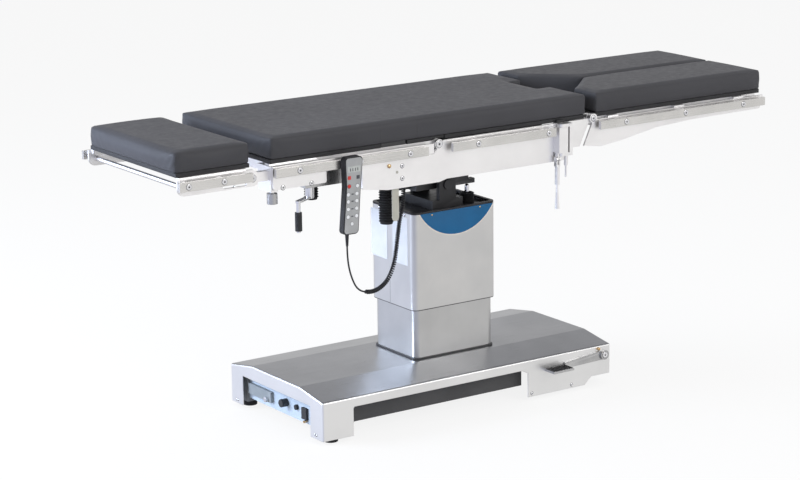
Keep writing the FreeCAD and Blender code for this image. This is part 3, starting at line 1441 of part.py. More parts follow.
def leg_panel(name, head, leg, outer, inner, notch_y, notch_x, low, high):
    """A leg board or pad with its corner cut off at the notch."""
    outline = [(head, "-" + outer), (leg, "-" + outer), (leg, "-" + inner), (notch_x, "-" + inner),
               (head, "-" + notch_y)]
    return prism(name, "xy", outline, low, high)


def leg_board():
    return leg_panel("leg_board", "leg_board_head", "leg_reach", "board_half_width", "leg_board_inner",
                     "leg_notch_y", "leg_notch_x", board_foot, board_top)


def leg_pad():
    return leg_panel("leg_pad", "leg_pad_head", "leg_pad_leg", "pad_half_width", "leg_pad_inner",
                     "leg_pad_notch_y", "leg_pad_notch_x", pad_foot, pad_top)


# Clamp levers under the spread pivots
clamp_sizes = {
    "clamp_cheek_thick": 4.2,
    "clamp_cheek_radius": 7.5,
    "clamp_fitting_radius": 7,
    "clamp_fitting_drop": 16,
    "clamp_fitting_long": 60,
    "clamp_handle_long": 73,
    "clamp_handle_thin": 3,
    "clamp_handle_thick": 7,
}
add_sizes(clamp_sizes)


def clamp_lever():
    side = "-spread_pivot_y"
    inner_face, outer_face = clamp_lug_head + "-air_gap", clamp_lug_head + "+clamp_lug_thick+air_gap"
    fitting_top = "(%s-clamp_fitting_drop)" % clamp_axis
    handle_top = "(%s-clamp_fitting_long)" % fitting_top
    middle = clamp_lug_head + "+clamp_lug_thick/2"
    pieces = [rod("clamp_pin", "x", (side, clamp_axis), "clamp_pin_radius", inner_face, outer_face)]
    for span in ((inner_face + "-clamp_cheek_thick", inner_face),
                 (outer_face, outer_face + "+clamp_cheek_thick")):
        pieces.append(rod("clamp_cheek_end", "x", (side, clamp_axis), "clamp_cheek_radius", *span))
        pieces.append(box("clamp_cheek", span,
                          (side + "-clamp_cheek_radius*0.8", side + "+clamp_cheek_radius*0.8"),
                          (fitting_top + "-past", clamp_axis)))
    pieces.append(rod("clamp_fitting", "z", (middle, side), "clamp_fitting_radius", handle_top, fitting_top))
    pieces.append(taper("clamp_handle", "z", (middle, side), "clamp_handle_thick", "clamp_handle_thin",
                        handle_top + "-clamp_handle_long", handle_top))
    return fuse("clamp_lever", *pieces)


# Hand control, its lead and the curly cord
handset_sizes = {
    "handset_rail_gap": 1,
    "handset_inner": "=side_rail_outer+handset_rail_gap",
    "handset_deep": 22,
    "handset_face_deep": 2,
    "handset_above_rail": 10,
    "handset_top": "=" + side_rail_top + "+handset_above_rail",
    "handset_long": 220,
    "handset_foot": "=handset_top-handset_long",
    "handset_waist_drop": 86,
    "handset_waist": "=handset_top-handset_waist_drop",
    "handset_middle": 479,
    "handset_lean": 14,
    "handset_lean_waist": 3,
    "handset_top_half": 30.5,
    "handset_waist_half": 25,
    "handset_foot_half": 26,
    "handset_corner": 12,
    "handset_margin": 3.5,
    "hook_half": 16,
    "hook_thick": 3.7,
    "hook_lip_outer": "=side_rail_inner-air_gap",
    "hook_lip_thick": 2.7,
    "hook_lip_drop": 20,
    "relief_shift": 6,
    "relief_x": "=handset_middle+handset_lean+relief_shift",
    "relief_y": "=handset_inner+handset_deep/2",
    "relief_radius": 6,
    "relief_tip_radius": 3.5,
    "relief_long": 35,
    "key_radius": 4,
    "key_proud": 0.8,
    "key_column": 9,
    "key_row_first": 30,
    "key_row_step": 15,
    "lead_radius": 2.5,
    "curl_radius": 7,
}
add_sizes(handset_sizes)
relief_foot = "(handset_foot-relief_long)"


def handset_outline(margin):
    """Left and right edges of the leaning, waisted case, seen from the near side."""
    levels = (("handset_top-" + margin, "0", "handset_top_half"),
              ("handset_waist", "handset_lean_waist", "handset_waist_half"),
              ("handset_foot+" + margin, "handset_lean", "handset_foot_half"))
    left = [("-handset_middle-%s-(%s-%s)" % (lean, half, margin), z) for z, lean, half in levels]
    right = [("-handset_middle-%s+(%s-%s)" % (lean, half, margin), z) for z, lean, half in levels]
    return left + right[::-1]


def handset_shell():
    """The case with its hook over the rail and the strain relief."""
    case = prism("handset_case", "xz", handset_outline("0"),
                 *out("handset_inner", "handset_inner+handset_deep"), [((0, 2, 3, 5), "handset_corner")])
    hook_span = ("-handset_middle-hook_half", "-handset_middle+hook_half")
    hook_foot = side_rail_top + "+air_gap"
    hook = box("handset_hook", hook_span, out("hook_lip_outer-hook_lip_thick", "handset_inner"),
               (hook_foot, hook_foot + "+hook_thick"))
    lip = box("hook_lip", hook_span, out("hook_lip_outer-hook_lip_thick", "hook_lip_outer"),
              (hook_foot + "+hook_thick-hook_lip_drop", hook_foot))
    relief = taper("strain_relief", "z", ("-relief_x", "-relief_y"), "relief_tip_radius", "relief_radius",
                   relief_foot, "handset_foot+past")
    return fuse("handset_shell", case, hook, lip, relief)


def handset_face():
    """The face plate with two columns of keys."""
    front = "handset_inner+handset_deep"
    plate = prism("face_plate", "xz", handset_outline("handset_margin"),
                  *out(front, front + "+handset_face_deep"),
                  [((0, 2, 3, 5), "handset_corner-handset_margin")])
    keys = []
    for row in range(7):
        drop = "key_row_first+%d*key_row_step" % row
        for sign in ("-", "+"):
            x = "-handset_middle-handset_lean*%s/handset_long%skey_column" % ("(" + drop + ")", sign)
            keys.append(rod("key", "y", (x, "handset_top-(%s)" % drop), "key_radius",
                            *out(front + "+handset_face_deep", front + "+handset_face_deep+key_proud")))
    return fuse("handset_face", plate, *keys)


lead_route = [(-499, -292, 583), (-499, -292, 545), (-487, -290.5, 494), (-462, -287, 448),
              (-437.5, -283.5, 441)]
curly_route = [(-437.5, -283.5, 441), (-413, -280, 434), (-372, -270, 440), (-339, -260, 458),
               (-313, -250, 494),
               (-300, -243, 538), (-290, -238, 584), (-280, -234, 624), (-267, -231.5, 662),
               (-264, -230, 705), (-264, -230, 745)]


def cord(name, route, radius):
    """A round cord along straight runs joined by tangent arcs."""
    points = [FreeCAD.Vector(*point) for point in route]
    edges = []
    start = points[0]
    for before, corner, after in zip(points, points[1:], points[2:]):
        back, ahead = (before - corner), (after - corner)
        shorter = min(back.Length, ahead.Length)
        turn = math.pi - back.getAngle(ahead)
        back.normalize()
        ahead.normalize()
        reach = 0.45 * shorter
        bend = reach / math.tan(turn / 2)
        print(name, "bend radius", round(bend, 1))
        enter, leave = corner + back * reach, corner + ahead * reach
        inward = (back + ahead).normalize()
        middle = corner + inward * (bend / math.cos(turn / 2) - bend)
        edges.append(Part.LineSegment(start, enter).toShape())
        edges.append(Part.Arc(enter, middle, leave).toShape())
        start = leave
    edges.append(Part.LineSegment(start, points[-1]).toShape())
    path = Part.Wire(edges)
    section = Part.Wire([Part.Circle(points[0], points[1] - points[0], value_of(radius)).toShape()])
    solid = path.makePipeShell([section], True, False)
    piece = doc.addObject("Part::Feature", name)
    piece.Shape = solid
    print(name, "length", round(path.Length, 1), "volume ratio",
          round(solid.Volume / (math.pi * value_of(radius) ** 2 * path.Length), 4))
    return piece


# Assembly
node("base_cover", base_cover())
node("base_chassis", base_chassis())
node("base_feet", base_feet())
node("base_trim", base_trim())
node("control_panel", control_panel())
node("panel_fittings", panel_fittings())
node("castor_carrier", castor_carrier())
near_fork = node("castor_fork_near", castor_fork("castor_fork"))
node("castor_fork_far", mirrored(near_fork))
near_wheel = node("castor_wheel_near", castor_wheel("castor_wheel"))
node("castor_wheel_far", mirrored(near_wheel))
node("roller_axle", roller_axle())
node("brake_pedal", brake_pedal())
node("column_lower_cover", column_lower_cover())
node("column_guide", column_guide())
node("column_middle_cover", column_middle_cover())
node("column_upper_cover", column_upper_cover())
node("column_rim", column_rim())
node("lift_mast", lift_mast())
node("tilt_gaiter", pitch_gaiter())
node("tilt_rod", pitch_pusher())
node("tilt_yoke", tilt_yoke())
node("tilt_motor", tilt_motor())
node("tilt_saddle", tilt_saddle())
node("frame_side_plates", frame_side_plates())
node("frame_cross_members", frame_cross_members())
node("seat_board", seat_board())
node("seat_rails", seat_rails())
node("seat_pad", seat_pad())
node("slide_lever", slide_lever())
node("back_frame", back_frame())
node("back_board", back_board())
node("back_rails", back_rails())
node("back_pad", plain_pad("back_pad", "-back_pad_head", "-kidney_pad_head-air_gap"))
node("kidney_pad", plain_pad("kidney_pad", "-kidney_pad_head", "-kidney_pad_leg-air_gap"))
node("hinge_pad", plain_pad("hinge_pad", "-kidney_pad_leg", "-seat_pad_head-air_gap"))
node("crank_gearbox", crank_gearbox())
node("kidney_gaiters", kidney_gaiters())
node("kidney_bridge", kidney_bridge())
node("crank_handle", crank_handle())
node("crank_grip", crank_grip())
node("head_frame", head_frame())
node("head_board", head_board())
node("head_pad", head_pad())
for name, make in (("head_knob", head_knob), ("leg_bracket", leg_bracket), ("leg_frame", leg_frame),
                   ("leg_board", leg_board), ("leg_pad", leg_pad), ("clamp_lever", clamp_lever)):
    near_piece = node(name + "_near", make())
    node(name + "_far", mirrored(near_piece))
node("handset_shell", handset_shell())
node("handset_face", handset_face())
node("handset_lead", cord("handset_lead", lead_route, "lead_radius"))
node("curly_cord", cord("curly_cord", curly_route, "curl_radius"))
doc.recompute()

for thing in doc.Objects:
    if "Invalid" in thing.State or "Error" in thing.State:
        raise RuntimeError("%s did not build: %s" % (thing.Name, thing.State))
for piece in sub_parts:
    if piece.Shape.isNull() or not piece.Shape.isValid():
        raise RuntimeError("%s has a bad shape" % piece.Label)
for piece in sub_parts:
    piece.Shape.exportStep("parts/%s.step" % piece.Label)
    print(piece.Label, len(piece.Shape.Solids), round(piece.Shape.Volume / 1000), "cm3")
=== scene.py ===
import json
import math

import bmesh
import bpy
from mathutils import Matrix, Vector, noise
from mathutils.bvhtree import BVHTree


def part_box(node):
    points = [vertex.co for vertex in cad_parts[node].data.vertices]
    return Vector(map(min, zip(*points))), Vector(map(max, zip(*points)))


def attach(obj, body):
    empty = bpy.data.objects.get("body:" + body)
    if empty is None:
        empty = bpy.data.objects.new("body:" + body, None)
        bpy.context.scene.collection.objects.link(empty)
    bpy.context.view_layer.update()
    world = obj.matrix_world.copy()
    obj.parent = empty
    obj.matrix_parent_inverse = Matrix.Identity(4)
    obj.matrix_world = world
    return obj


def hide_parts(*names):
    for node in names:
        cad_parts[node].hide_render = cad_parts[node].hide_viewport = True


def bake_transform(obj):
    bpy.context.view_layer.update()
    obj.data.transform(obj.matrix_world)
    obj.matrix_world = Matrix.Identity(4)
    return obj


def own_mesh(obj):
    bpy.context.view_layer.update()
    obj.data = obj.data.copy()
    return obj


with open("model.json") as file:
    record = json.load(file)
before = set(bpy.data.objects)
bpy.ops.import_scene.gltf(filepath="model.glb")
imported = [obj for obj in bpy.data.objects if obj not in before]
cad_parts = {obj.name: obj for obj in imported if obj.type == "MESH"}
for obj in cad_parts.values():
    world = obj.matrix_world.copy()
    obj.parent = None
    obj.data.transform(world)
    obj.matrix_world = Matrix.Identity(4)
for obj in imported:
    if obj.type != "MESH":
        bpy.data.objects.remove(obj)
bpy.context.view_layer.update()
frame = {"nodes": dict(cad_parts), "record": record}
record = frame["record"]
bodyOf = {node: body for body, nodes in record["behaviour"]["bodies"].items() for node in nodes}
slotOf = {part["node"]: part["material_slot"] for part in record["subparts"]}
mm = 0.001
print("frame loaded:", len(frame["nodes"]), "nodes")


# Camera at the photograph's place, found from the edges of the base, the column and the pads
cameraSet = {
    "place": (-4.26316, -6.07142, 2.26547),
    "yaw": -34.303,
    "pitch": 13.581,
    "roll": -0.650,
    "focalPixels": 2544.2,
    "imageWidth": 800,
    "sensorWidth": 36.0,
}


def makeCamera(values):
    yaw, pitch, roll = (math.radians(values[key]) for key in ("yaw", "pitch", "roll"))
    forward = Vector((-math.sin(yaw) * math.cos(pitch), math.cos(yaw) * math.cos(pitch), -math.sin(pitch)))
    right = Vector((math.cos(yaw), math.sin(yaw), 0))
    up = right.cross(forward)
    across = right * math.cos(roll) + up * math.sin(roll)
    upright = up * math.cos(roll) - right * math.sin(roll)
    data = bpy.data.cameras.new("camera")
    data.sensor_width = values["sensorWidth"]
    data.lens = values["focalPixels"] * values["sensorWidth"] / values["imageWidth"]
    data.clip_end = 100
    camera = bpy.data.objects.new("camera", data)
    bpy.context.scene.collection.objects.link(camera)
    turn = Matrix((across, upright, -forward)).transposed()
    camera.matrix_world = Matrix.Translation(values["place"]) @ turn.to_4x4()
    bpy.context.scene.camera = camera


makeCamera(cameraSet)
print("camera placed")


# Shader nodes: inputs go by name or number, and take a value or another node's output
def put(tree, kind, inputs=None, **settings):
    node = tree.nodes.new(kind)
    for key, value in settings.items():
        setattr(node, key, value)
    for key, value in (inputs or {}).items():
        if isinstance(value, bpy.types.NodeSocket):
            tree.links.new(value, node.inputs[key])
        else:
            node.inputs[key].default_value = value
    return node


def newGroup(name, inputs, outputs):
    group = bpy.data.node_groups.new(name, "ShaderNodeTree")
    for label, kind in inputs:
        group.interface.new_socket(name=label, in_out="INPUT", socket_type="NodeSocket" + kind)
    for label, kind in outputs:
        group.interface.new_socket(name=label, in_out="OUTPUT", socket_type="NodeSocket" + kind)
    start = group.nodes.new("NodeGroupInput")
    end = group.nodes.new("NodeGroupOutput")
    return group, start.outputs, end.inputs


def brushedGroup():
    group, given, made = newGroup("brushed grain",
                                  [("Coordinate", "Vector"), ("Stretch", "Vector"), ("Depth", "Float")],
                                  [("Shade", "Float"), ("Normal", "Vector")])
    spot = put(group, "ShaderNodeVectorMath", {0: given["Coordinate"], 1: given["Stretch"]},
               operation="MULTIPLY")
    fine = put(group, "ShaderNodeTexNoise", {"Vector": spot.outputs[0], "Scale": 1.0, "Detail": 5.0,
                                             "Roughness": 0.7})
    bump = put(group, "ShaderNodeBump", {"Strength": given["Depth"], "Distance": 0.0006,
                                         "Height": fine.outputs[0]})
    group.links.new(fine.outputs[0], made["Shade"])
    group.links.new(bump.outputs[0], made["Normal"])
    return group


def pebbleGroup():
    group, given, made = newGroup("pebbled skin",
                                  [("Coordinate", "Vector"), ("Scale", "Float"), ("Depth", "Float")],
                                  [("Shade", "Float"), ("Normal", "Vector")])
    cells = put(group, "ShaderNodeTexVoronoi", {"Vector": given["Coordinate"], "Scale": given["Scale"]},
                feature="SMOOTH_F1")
    soft = put(group, "ShaderNodeTexNoise", {"Vector": given["Coordinate"], "Scale": 60.0, "Detail": 6.0})
    height = put(group, "ShaderNodeMath", {0: cells.outputs["Distance"], 1: soft.outputs[0]}, operation="ADD")
    bump = put(group, "ShaderNodeBump", {"Strength": given["Depth"], "Distance": 0.0004,
                                         "Height": height.outputs[0]})
    group.links.new(soft.outputs[0], made["Shade"])
    group.links.new(bump.outputs[0], made["Normal"])
    return group


def cloudyGroup():
    group, given, made = newGroup("cloudy change",
                                  [("Coordinate", "Vector"), ("Scale", "Float"), ("Low", "Float"),
                                   ("High", "Float")], [("Value", "Float")])
    soft = put(group, "ShaderNodeTexNoise", {"Vector": given["Coordinate"], "Scale": given["Scale"],
                                             "Detail": 3.0})
    spread = put(group, "ShaderNodeMapRange", {"Value": soft.outputs[0], 1: 0.36, 2: 0.64, 3: given["Low"],
                                               4: given["High"]})
    group.links.new(spread.outputs[0], made["Value"])
    return group


# Painted highlight: convex edges, found by their pointiness, turn paler in the colour
def edgeHighlightGroup():
    group, given, made = newGroup("painted edge highlight", [("Amount", "Float")], [("Mask", "Float")])
    sharp = put(group, "ShaderNodeNewGeometry").outputs["Pointiness"]
    mask = put(group, "ShaderNodeMapRange", {"Value": sharp, 1: 0.52, 2: 0.64, 3: 0.0, 4: given["Amount"]})
    group.links.new(mask.outputs[0], made["Mask"])
    return group


groups = {"brushed": brushedGroup(), "pebble": pebbleGroup(), "cloudy": cloudyGroup(),
          "edgeHighlight": edgeHighlightGroup()}

# Each finish: two colours that drift into each other, the two ends of the roughness, and a brushed grain or a
# pebbled skin. The cloth of the pads has soft creases too
finishes = {
    "coverSteel": {
        "colour": (0.66, 0.655, 0.65), "drift": (0.60, 0.60, 0.60), "metallic": 1.0, "rough": (0.28, 0.42),
        "grain": (520, 520, 5), "depth": 0.10, "cloud": 7, "highlight": 0.25},
    # Lower column cover: the column's steel painted darker, as painted shade
    "lowerSteel": {
        "colour": (0.56, 0.56, 0.56), "drift": (0.50, 0.50, 0.50), "metallic": 1.0, "rough": (0.30, 0.42),
        "grain": (520, 520, 5), "depth": 0.10, "cloud": 7, "highlight": 0.25},
    # Top of the base cover: the same steel as its sides, painted darker as painted shade
    "shadedTopSteel": {
        "colour": (0.44, 0.445, 0.46), "drift": (0.38, 0.385, 0.40), "metallic": 1.0, "rough": (0.26, 0.38),
        "grain": (5, 520, 520), "depth": 0.08, "cloud": 5, "highlight": 0.3},
    # Sides of the base cover: the same steel painted lighter, as painted light
    "litSideSteel": {
        "colour": (0.90, 0.90, 0.90), "drift": (0.84, 0.84, 0.84), "metallic": 1.0, "rough": (0.30, 0.44),
        "grain": (5, 480, 480), "depth": 0.08, "cloud": 6, "highlight": 0.3},
    "plateSteel": {
        "colour": (0.92, 0.91, 0.915), "drift": (0.86, 0.85, 0.855), "metallic": 1.0, "rough": (0.32, 0.48),
        "grain": (6, 420, 420), "depth": 0.08, "cloud": 9, "highlight": 0.3},
    "railSteel": {
        "colour": (0.70, 0.685, 0.665), "drift": (0.62, 0.61, 0.59), "metallic": 1.0, "rough": (0.20, 0.34),
        "grain": (4, 1500, 1500), "depth": 0.05, "cloud": 12, "highlight": 0.35},
    "machinedSteel": {
        "colour": (0.52, 0.52, 0.52), "drift": (0.42, 0.42, 0.43), "metallic": 1.0, "rough": (0.22, 0.38),
        "grain": (500, 500, 60), "depth": 0.08, "cloud": 20, "highlight": 0.3},
    "chrome": {
        "colour": (0.84, 0.84, 0.86), "drift": (0.76, 0.76, 0.79), "metallic": 1.0, "rough": (0.07, 0.16),
        "grain": (200, 200, 200), "depth": 0.02, "cloud": 30, "highlight": 0.1},
    "brass": {
        "colour": (0.74, 0.50, 0.24), "drift": (0.62, 0.40, 0.18), "metallic": 1.0, "rough": (0.2, 0.34),
        "grain": (300, 300, 300), "depth": 0.05, "cloud": 60, "highlight": 0.2},
    "framePaint": {
        "colour": (0.30, 0.31, 0.32), "drift": (0.24, 0.25, 0.26), "rough": (0.42, 0.56),
        "pebble": 900, "depth": 0.15, "cloud": 14, "highlight": 0.3},
    "blackPaint": {
        "colour": (0.012, 0.012, 0.014), "drift": (0.02, 0.02, 0.023), "rough": (0.3, 0.46),
        "pebble": 900, "depth": 0.1, "cloud": 18, "highlight": 0.35, "specular": 0.3},
    "kickPaint": {
        "colour": (0.045, 0.045, 0.048), "drift": (0.06, 0.06, 0.063), "rough": (0.3, 0.45),
        "pebble": 700, "depth": 0.08, "cloud": 8, "highlight": 0.2, "specular": 0.3},
    "blackBoard": {
        "colour": (0.014, 0.014, 0.016), "drift": (0.022, 0.022, 0.025), "rough": (0.34, 0.52),
        "pebble": 1400, "depth": 0.12, "cloud": 10, "highlight": 0.12, "specular": 0.22},
    "blackRubber": {
        "colour": (0.018, 0.018, 0.019), "drift": (0.028, 0.028, 0.03), "rough": (0.5, 0.68),
        "pebble": 1200, "depth": 0.2, "cloud": 30, "highlight": 0.1, "specular": 0.22},
    "blackPlastic": {
        "colour": (0.02, 0.02, 0.022), "drift": (0.03, 0.03, 0.033), "rough": (0.36, 0.5),
        "pebble": 1800, "depth": 0.18, "cloud": 25, "highlight": 0.12, "specular": 0.22},
    "darkTrim": {
        "colour": (0.022, 0.021, 0.024), "drift": (0.032, 0.031, 0.034), "rough": (0.26, 0.44),
        "pebble": 700, "depth": 0.06, "cloud": 12, "highlight": 0.1, "specular": 0.22},
    "bluePanel": {
        "colour": (0.50, 0.58, 0.68), "drift": (0.45, 0.53, 0.63), "rough": (0.34, 0.46),
        "pebble": 900, "depth": 0.08, "cloud": 14, "highlight": 0.2},
    "greyPlastic": {
        "colour": (0.26, 0.285, 0.30), "drift": (0.21, 0.235, 0.25), "rough": (0.4, 0.52),
        "pebble": 1500, "depth": 0.14, "cloud": 25, "highlight": 0.2},
    "stripPlastic": {
        "colour": (0.48, 0.47, 0.41), "drift": (0.42, 0.41, 0.36), "rough": (0.36, 0.5),
        "pebble": 1500, "depth": 0.1, "cloud": 25, "highlight": 0.25},
    "handsetFilm": {
        "colour": (0.38, 0.385, 0.39), "drift": (0.34, 0.345, 0.35), "rough": (0.32, 0.42),
        "pebble": 2200, "depth": 0.06, "cloud": 30, "highlight": 0.0},
    "keySilver": {
        "colour": (0.80, 0.81, 0.83), "drift": (0.72, 0.73, 0.75), "rough": (0.3, 0.4),
        "pebble": 2600, "depth": 0.05, "cloud": 80, "highlight": 0.3},
    "keyRed": {
        "colour": (0.62, 0.03, 0.02), "drift": (0.5, 0.02, 0.015), "rough": (0.3, 0.4),
        "pebble": 2600, "depth": 0.05, "cloud": 80, "highlight": 0.2},
    "keyDark": {
        "colour": (0.05, 0.055, 0.065), "drift": (0.035, 0.04, 0.05), "rough": (0.3, 0.4),
        "pebble": 2600, "depth": 0.05, "cloud": 80, "highlight": 0.2},
    "windowGrey": {
        "colour": (0.50, 0.52, 0.50), "drift": (0.44, 0.46, 0.45), "rough": (0.12, 0.2),
        "pebble": 2600, "depth": 0.02, "cloud": 60, "highlight": 0.0},
    "cordSheath": {
        "colour": (0.014, 0.014, 0.016), "drift": (0.024, 0.024, 0.027), "rough": (0.32, 0.46),
        "pebble": 2400, "depth": 0.1, "cloud": 60, "highlight": 0.08, "specular": 0.22},
    "badgeBlue": {
        "colour": (0.002, 0.115, 0.285), "drift": (0.002, 0.105, 0.26), "rough": (0.4, 0.5),
        "pebble": 1800, "depth": 0.04, "cloud": 25, "highlight": 0.05, "specular": 0.22},
    "badgeEdge": {
        "colour": (0.78, 0.72, 0.66), "drift": (0.72, 0.66, 0.60), "rough": (0.3, 0.4),
        "pebble": 1800, "depth": 0.04, "cloud": 40, "highlight": 0.1},
    "plateWhite": {
        "colour": (0.72, 0.73, 0.77), "drift": (0.66, 0.68, 0.72), "rough": (0.28, 0.38),
        "pebble": 1500, "depth": 0.04, "cloud": 20, "highlight": 0.1},
    # Dark of the column's seam, and of painted shade: the gaps around washers, the screw sockets and the
    # strip under the upper cover
    "darkLine": {
        "colour": (0.05, 0.05, 0.055), "drift": (0.035, 0.035, 0.04), "rough": (0.5, 0.6),
        "pebble": 1500, "depth": 0.05, "cloud": 40, "highlight": 0.0},
    "padCover": {
        "colour": (0.062, 0.062, 0.068), "drift": (0.071, 0.071, 0.078), "rough": (0.36, 0.46),
        "pebble": 1100, "depth": 0.16, "cloud": 3.5, "highlight": 0.0, "specular": 0.08,
        "creases": 7, "creaseDepth": 0.14, "creaseHigh": 4 * mm},
}
# Colour of the painted highlight on convex edges: True on bare metal, False on the rest
highlightColour = {True: (0.92, 0.92, 0.92, 1), False: (0.30, 0.30, 0.31, 1)}


def newMaterial(name):
    material = bpy.data.materials.new(name)
    material.use_nodes = True
    material.node_tree.nodes.clear()
    return material, material.node_tree


def makeFinish(name, values):
    material, tree = newMaterial(name)
    metallic = values.get("metallic", 0.0)
    spot = put(tree, "ShaderNodeTexCoord").outputs["Object"]
    cloud = put(tree, "ShaderNodeGroup", {"Coordinate": spot, "Scale": values["cloud"],
                                          "Low": 0.0, "High": 1.0}, node_tree=groups["cloudy"])
    if "grain" in values:
        skin = put(tree, "ShaderNodeGroup", {"Coordinate": spot, "Stretch": values["grain"],
                                             "Depth": values["depth"]}, node_tree=groups["brushed"])
    else:
        skin = put(tree, "ShaderNodeGroup", {"Coordinate": spot, "Scale": values["pebble"],
                                             "Depth": values["depth"]}, node_tree=groups["pebble"])
    normal = skin.outputs["Normal"]
    if "creases" in values:
        soft = put(tree, "ShaderNodeTexNoise", {"Vector": spot, "Scale": values["creases"], "Detail": 2.0,
                                                "Distortion": 0.6})
        normal = put(tree, "ShaderNodeBump", {"Strength": values["creaseDepth"],
                                              "Distance": values["creaseHigh"], "Height": soft.outputs[0],
                                              "Normal": normal}).outputs[0]
    # painted highlight on the convex edges, by the finish's highlight amount
    edgeHighlight = put(tree, "ShaderNodeGroup", {"Amount": values["highlight"]}, node_tree=groups["edgeHighlight"])
    colour = put(tree, "ShaderNodeMix", {0: cloud.outputs["Value"], 6: (*values["colour"], 1),
                                         7: (*values["drift"], 1)}, data_type="RGBA")
    highlighted = put(tree, "ShaderNodeMix", {0: edgeHighlight.outputs["Mask"], 6: colour.outputs[2],
                                        7: highlightColour[metallic > 0.5]}, data_type="RGBA")
    low, high = values["rough"]
    rough = put(tree, "ShaderNodeMapRange", {"Value": skin.outputs["Shade"], 1: 0.3, 2: 0.7, 3: low, 4: high})
    shader = put(tree, "ShaderNodeBsdfPrincipled", {
        "Base Color": highlighted.outputs[2], "Roughness": rough.outputs[0], "Normal": normal,
        "Metallic": metallic, "Specular IOR Level": values.get("specular", 0.4)})
    put(tree, "ShaderNodeOutputMaterial", {"Surface": shader.outputs[0]})
    return material


materials = {name: makeFinish(name, values) for name, values in finishes.items()}
finishOfSlot = {
    "stainless_cover": "coverSteel", "stainless_plate": "plateSteel", "stainless_rail": "railSteel",
    "machined_steel": "machinedSteel", "chrome": "chrome", "painted_frame": "blackPaint",
    "black_board": "blackBoard", "pad_cover": "padCover", "black_rubber": "blackRubber",
    "black_plastic": "blackPlastic", "dark_trim": "darkTrim", "blue_panel": "bluePanel",
    "grey_plastic": "greyPlastic", "handset_case": "blackPlastic", "handset_face": "handsetFilm",
    "cord_sheath": "cordSheath",
}
print("materials made:", len(materials))


# Mesh helpers, all in metres
def linked(name, bm):
    mesh = bpy.data.meshes.new(name)
    bm.to_mesh(mesh)
    bm.free()
    piece = bpy.data.objects.new(name, mesh)
    bpy.context.scene.collection.objects.link(piece)
    return piece


def block(bm, low, high, edge=0.5 * mm, segments=2):
    low, high = Vector(low), Vector(high)
    place = Matrix.Translation((low + high) / 2) @ Matrix.Diagonal((*(high - low), 1))
    made = bmesh.ops.create_cube(bm, size=1, matrix=place)["verts"]
    edges = list({e for v in made for e in v.link_edges})
    if edge:
        bmesh.ops.bevel(bm, geom=edges, offset=edge, segments=segments, profile=0.5, affect="EDGES",
                        clamp_overlap=True, material=-1)


def turned(bm, profile, centre, axis, steps=32):  # the profile holds (distance along the axis, radius)
    axis = Vector(axis).normalized()
    side = axis.orthogonal().normalized()
    verts = [bm.verts.new(Vector(centre) + axis * along + side * radius) for along, radius in profile]
    edges = [bm.edges.new(pair) for pair in zip(verts, verts[1:])]
    bmesh.ops.spin(bm, geom=verts + edges, cent=centre, axis=axis, angle=2 * math.pi, steps=steps,
                   use_merge=True, use_duplicate=False)
    bmesh.ops.remove_doubles(bm, verts=bm.verts, dist=1e-6)


def peg(bm, radius, low, high, centre, axis, steps=32):  # a plain disc or rod from low to high along the axis
    turned(bm, [(low, 0), (low, radius), (high, radius), (high, 0)], centre, axis, steps)


# Socket screw on a washer: heights above the face, and radii as shares of the washer's
screwSet = {
    "foot": -0.2 * mm, "lineWide": 0.9 * mm, "lineHigh": 0.1 * mm, "rimHigh": 0.9 * mm, "bevel": 0.7 * mm,
    "washerHigh": 1.4 * mm, "grooveOuter": 0.62, "grooveFoot": 1.1 * mm, "headShare": 0.56,
    "headHigh": 1.2 * mm, "socketEdge": 0.34, "socketShare": 0.30, "socketFoot": 0.4 * mm, "steps": 28,
    "keyShare": 0.29, "keyLow": 0.3 * mm, "keyHigh": 0.6 * mm, "keySides": 6,
}


def screwParts(bright, dark, centre, normal, radius, values):
    # painted shade: a dark line around a bevelled washer for the shadow in its gap, and a dark hexagon for
    # the shade in the socket in the middle of the screw's head
    foot, steps = values["foot"], values["steps"]
    peg(dark, radius + values["lineWide"], foot, values["lineHigh"], centre, normal, steps)
    turned(bright, [
        (foot, 0), (foot, radius), (values["rimHigh"], radius),
        (values["washerHigh"], radius - values["bevel"]),
        (values["washerHigh"], radius * values["grooveOuter"]),
        (values["grooveFoot"], radius * values["headShare"]),
        (values["headHigh"], radius * values["socketEdge"]),
        (values["socketFoot"], radius * values["socketShare"]),
        (values["socketFoot"], 0)], centre, normal, steps)
    peg(dark, radius * values["keyShare"], values["keyLow"], values["keyHigh"], centre, normal,
        values["keySides"])


# Smoothing: edges sharper than this many degrees stay hard, and so do the flat folds of a top
shadeSet = {"sharp": 50, "fold": 4, "upward": 0.95}


def finishPiece(name, bm, finish, body, slot, weighted=True):
    bmesh.ops.recalc_face_normals(bm, faces=bm.faces)
    for face in bm.faces:
        face.smooth = True
    for edge in bm.edges:
        turn = math.degrees(edge.calc_face_angle(0))
        onTop = all(face.normal.z > shadeSet["upward"] for face in edge.link_faces)
        edge.smooth = turn < shadeSet["sharp"] and not (onTop and turn > shadeSet["fold"])
    piece = linked(name, bm)
    for key in [finish] if isinstance(finish, str) else finish:
        piece.data.materials.append(materials[key])
    if weighted:
        modifier = piece.modifiers.new("weighted normals", "WEIGHTED_NORMAL")
        modifier.keep_sharp = True
    if body:
        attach(piece, body)
    return piece


# Hard pieces: a merged copy of the solid, with its hard edges eased and its finish by slot
easedEdge = {
    "default": 0.6 * mm, "base_cover": 1.0 * mm, "column_rim": 1.2 * mm, "back_board": 1.2 * mm,
    "seat_board": 1.2 * mm, "head_board": 1.2 * mm, "back_rails": 1.0 * mm, "seat_rails": 1.0 * mm,
    "handset_shell": 1.6 * mm, "kidney_gaiters": 0, "tilt_gaiter": 0, "tilt_rod": 0.3 * mm,
}
copySet = {"merge": 0.005 * mm, "flat": math.radians(0.4), "hard": math.radians(32)}


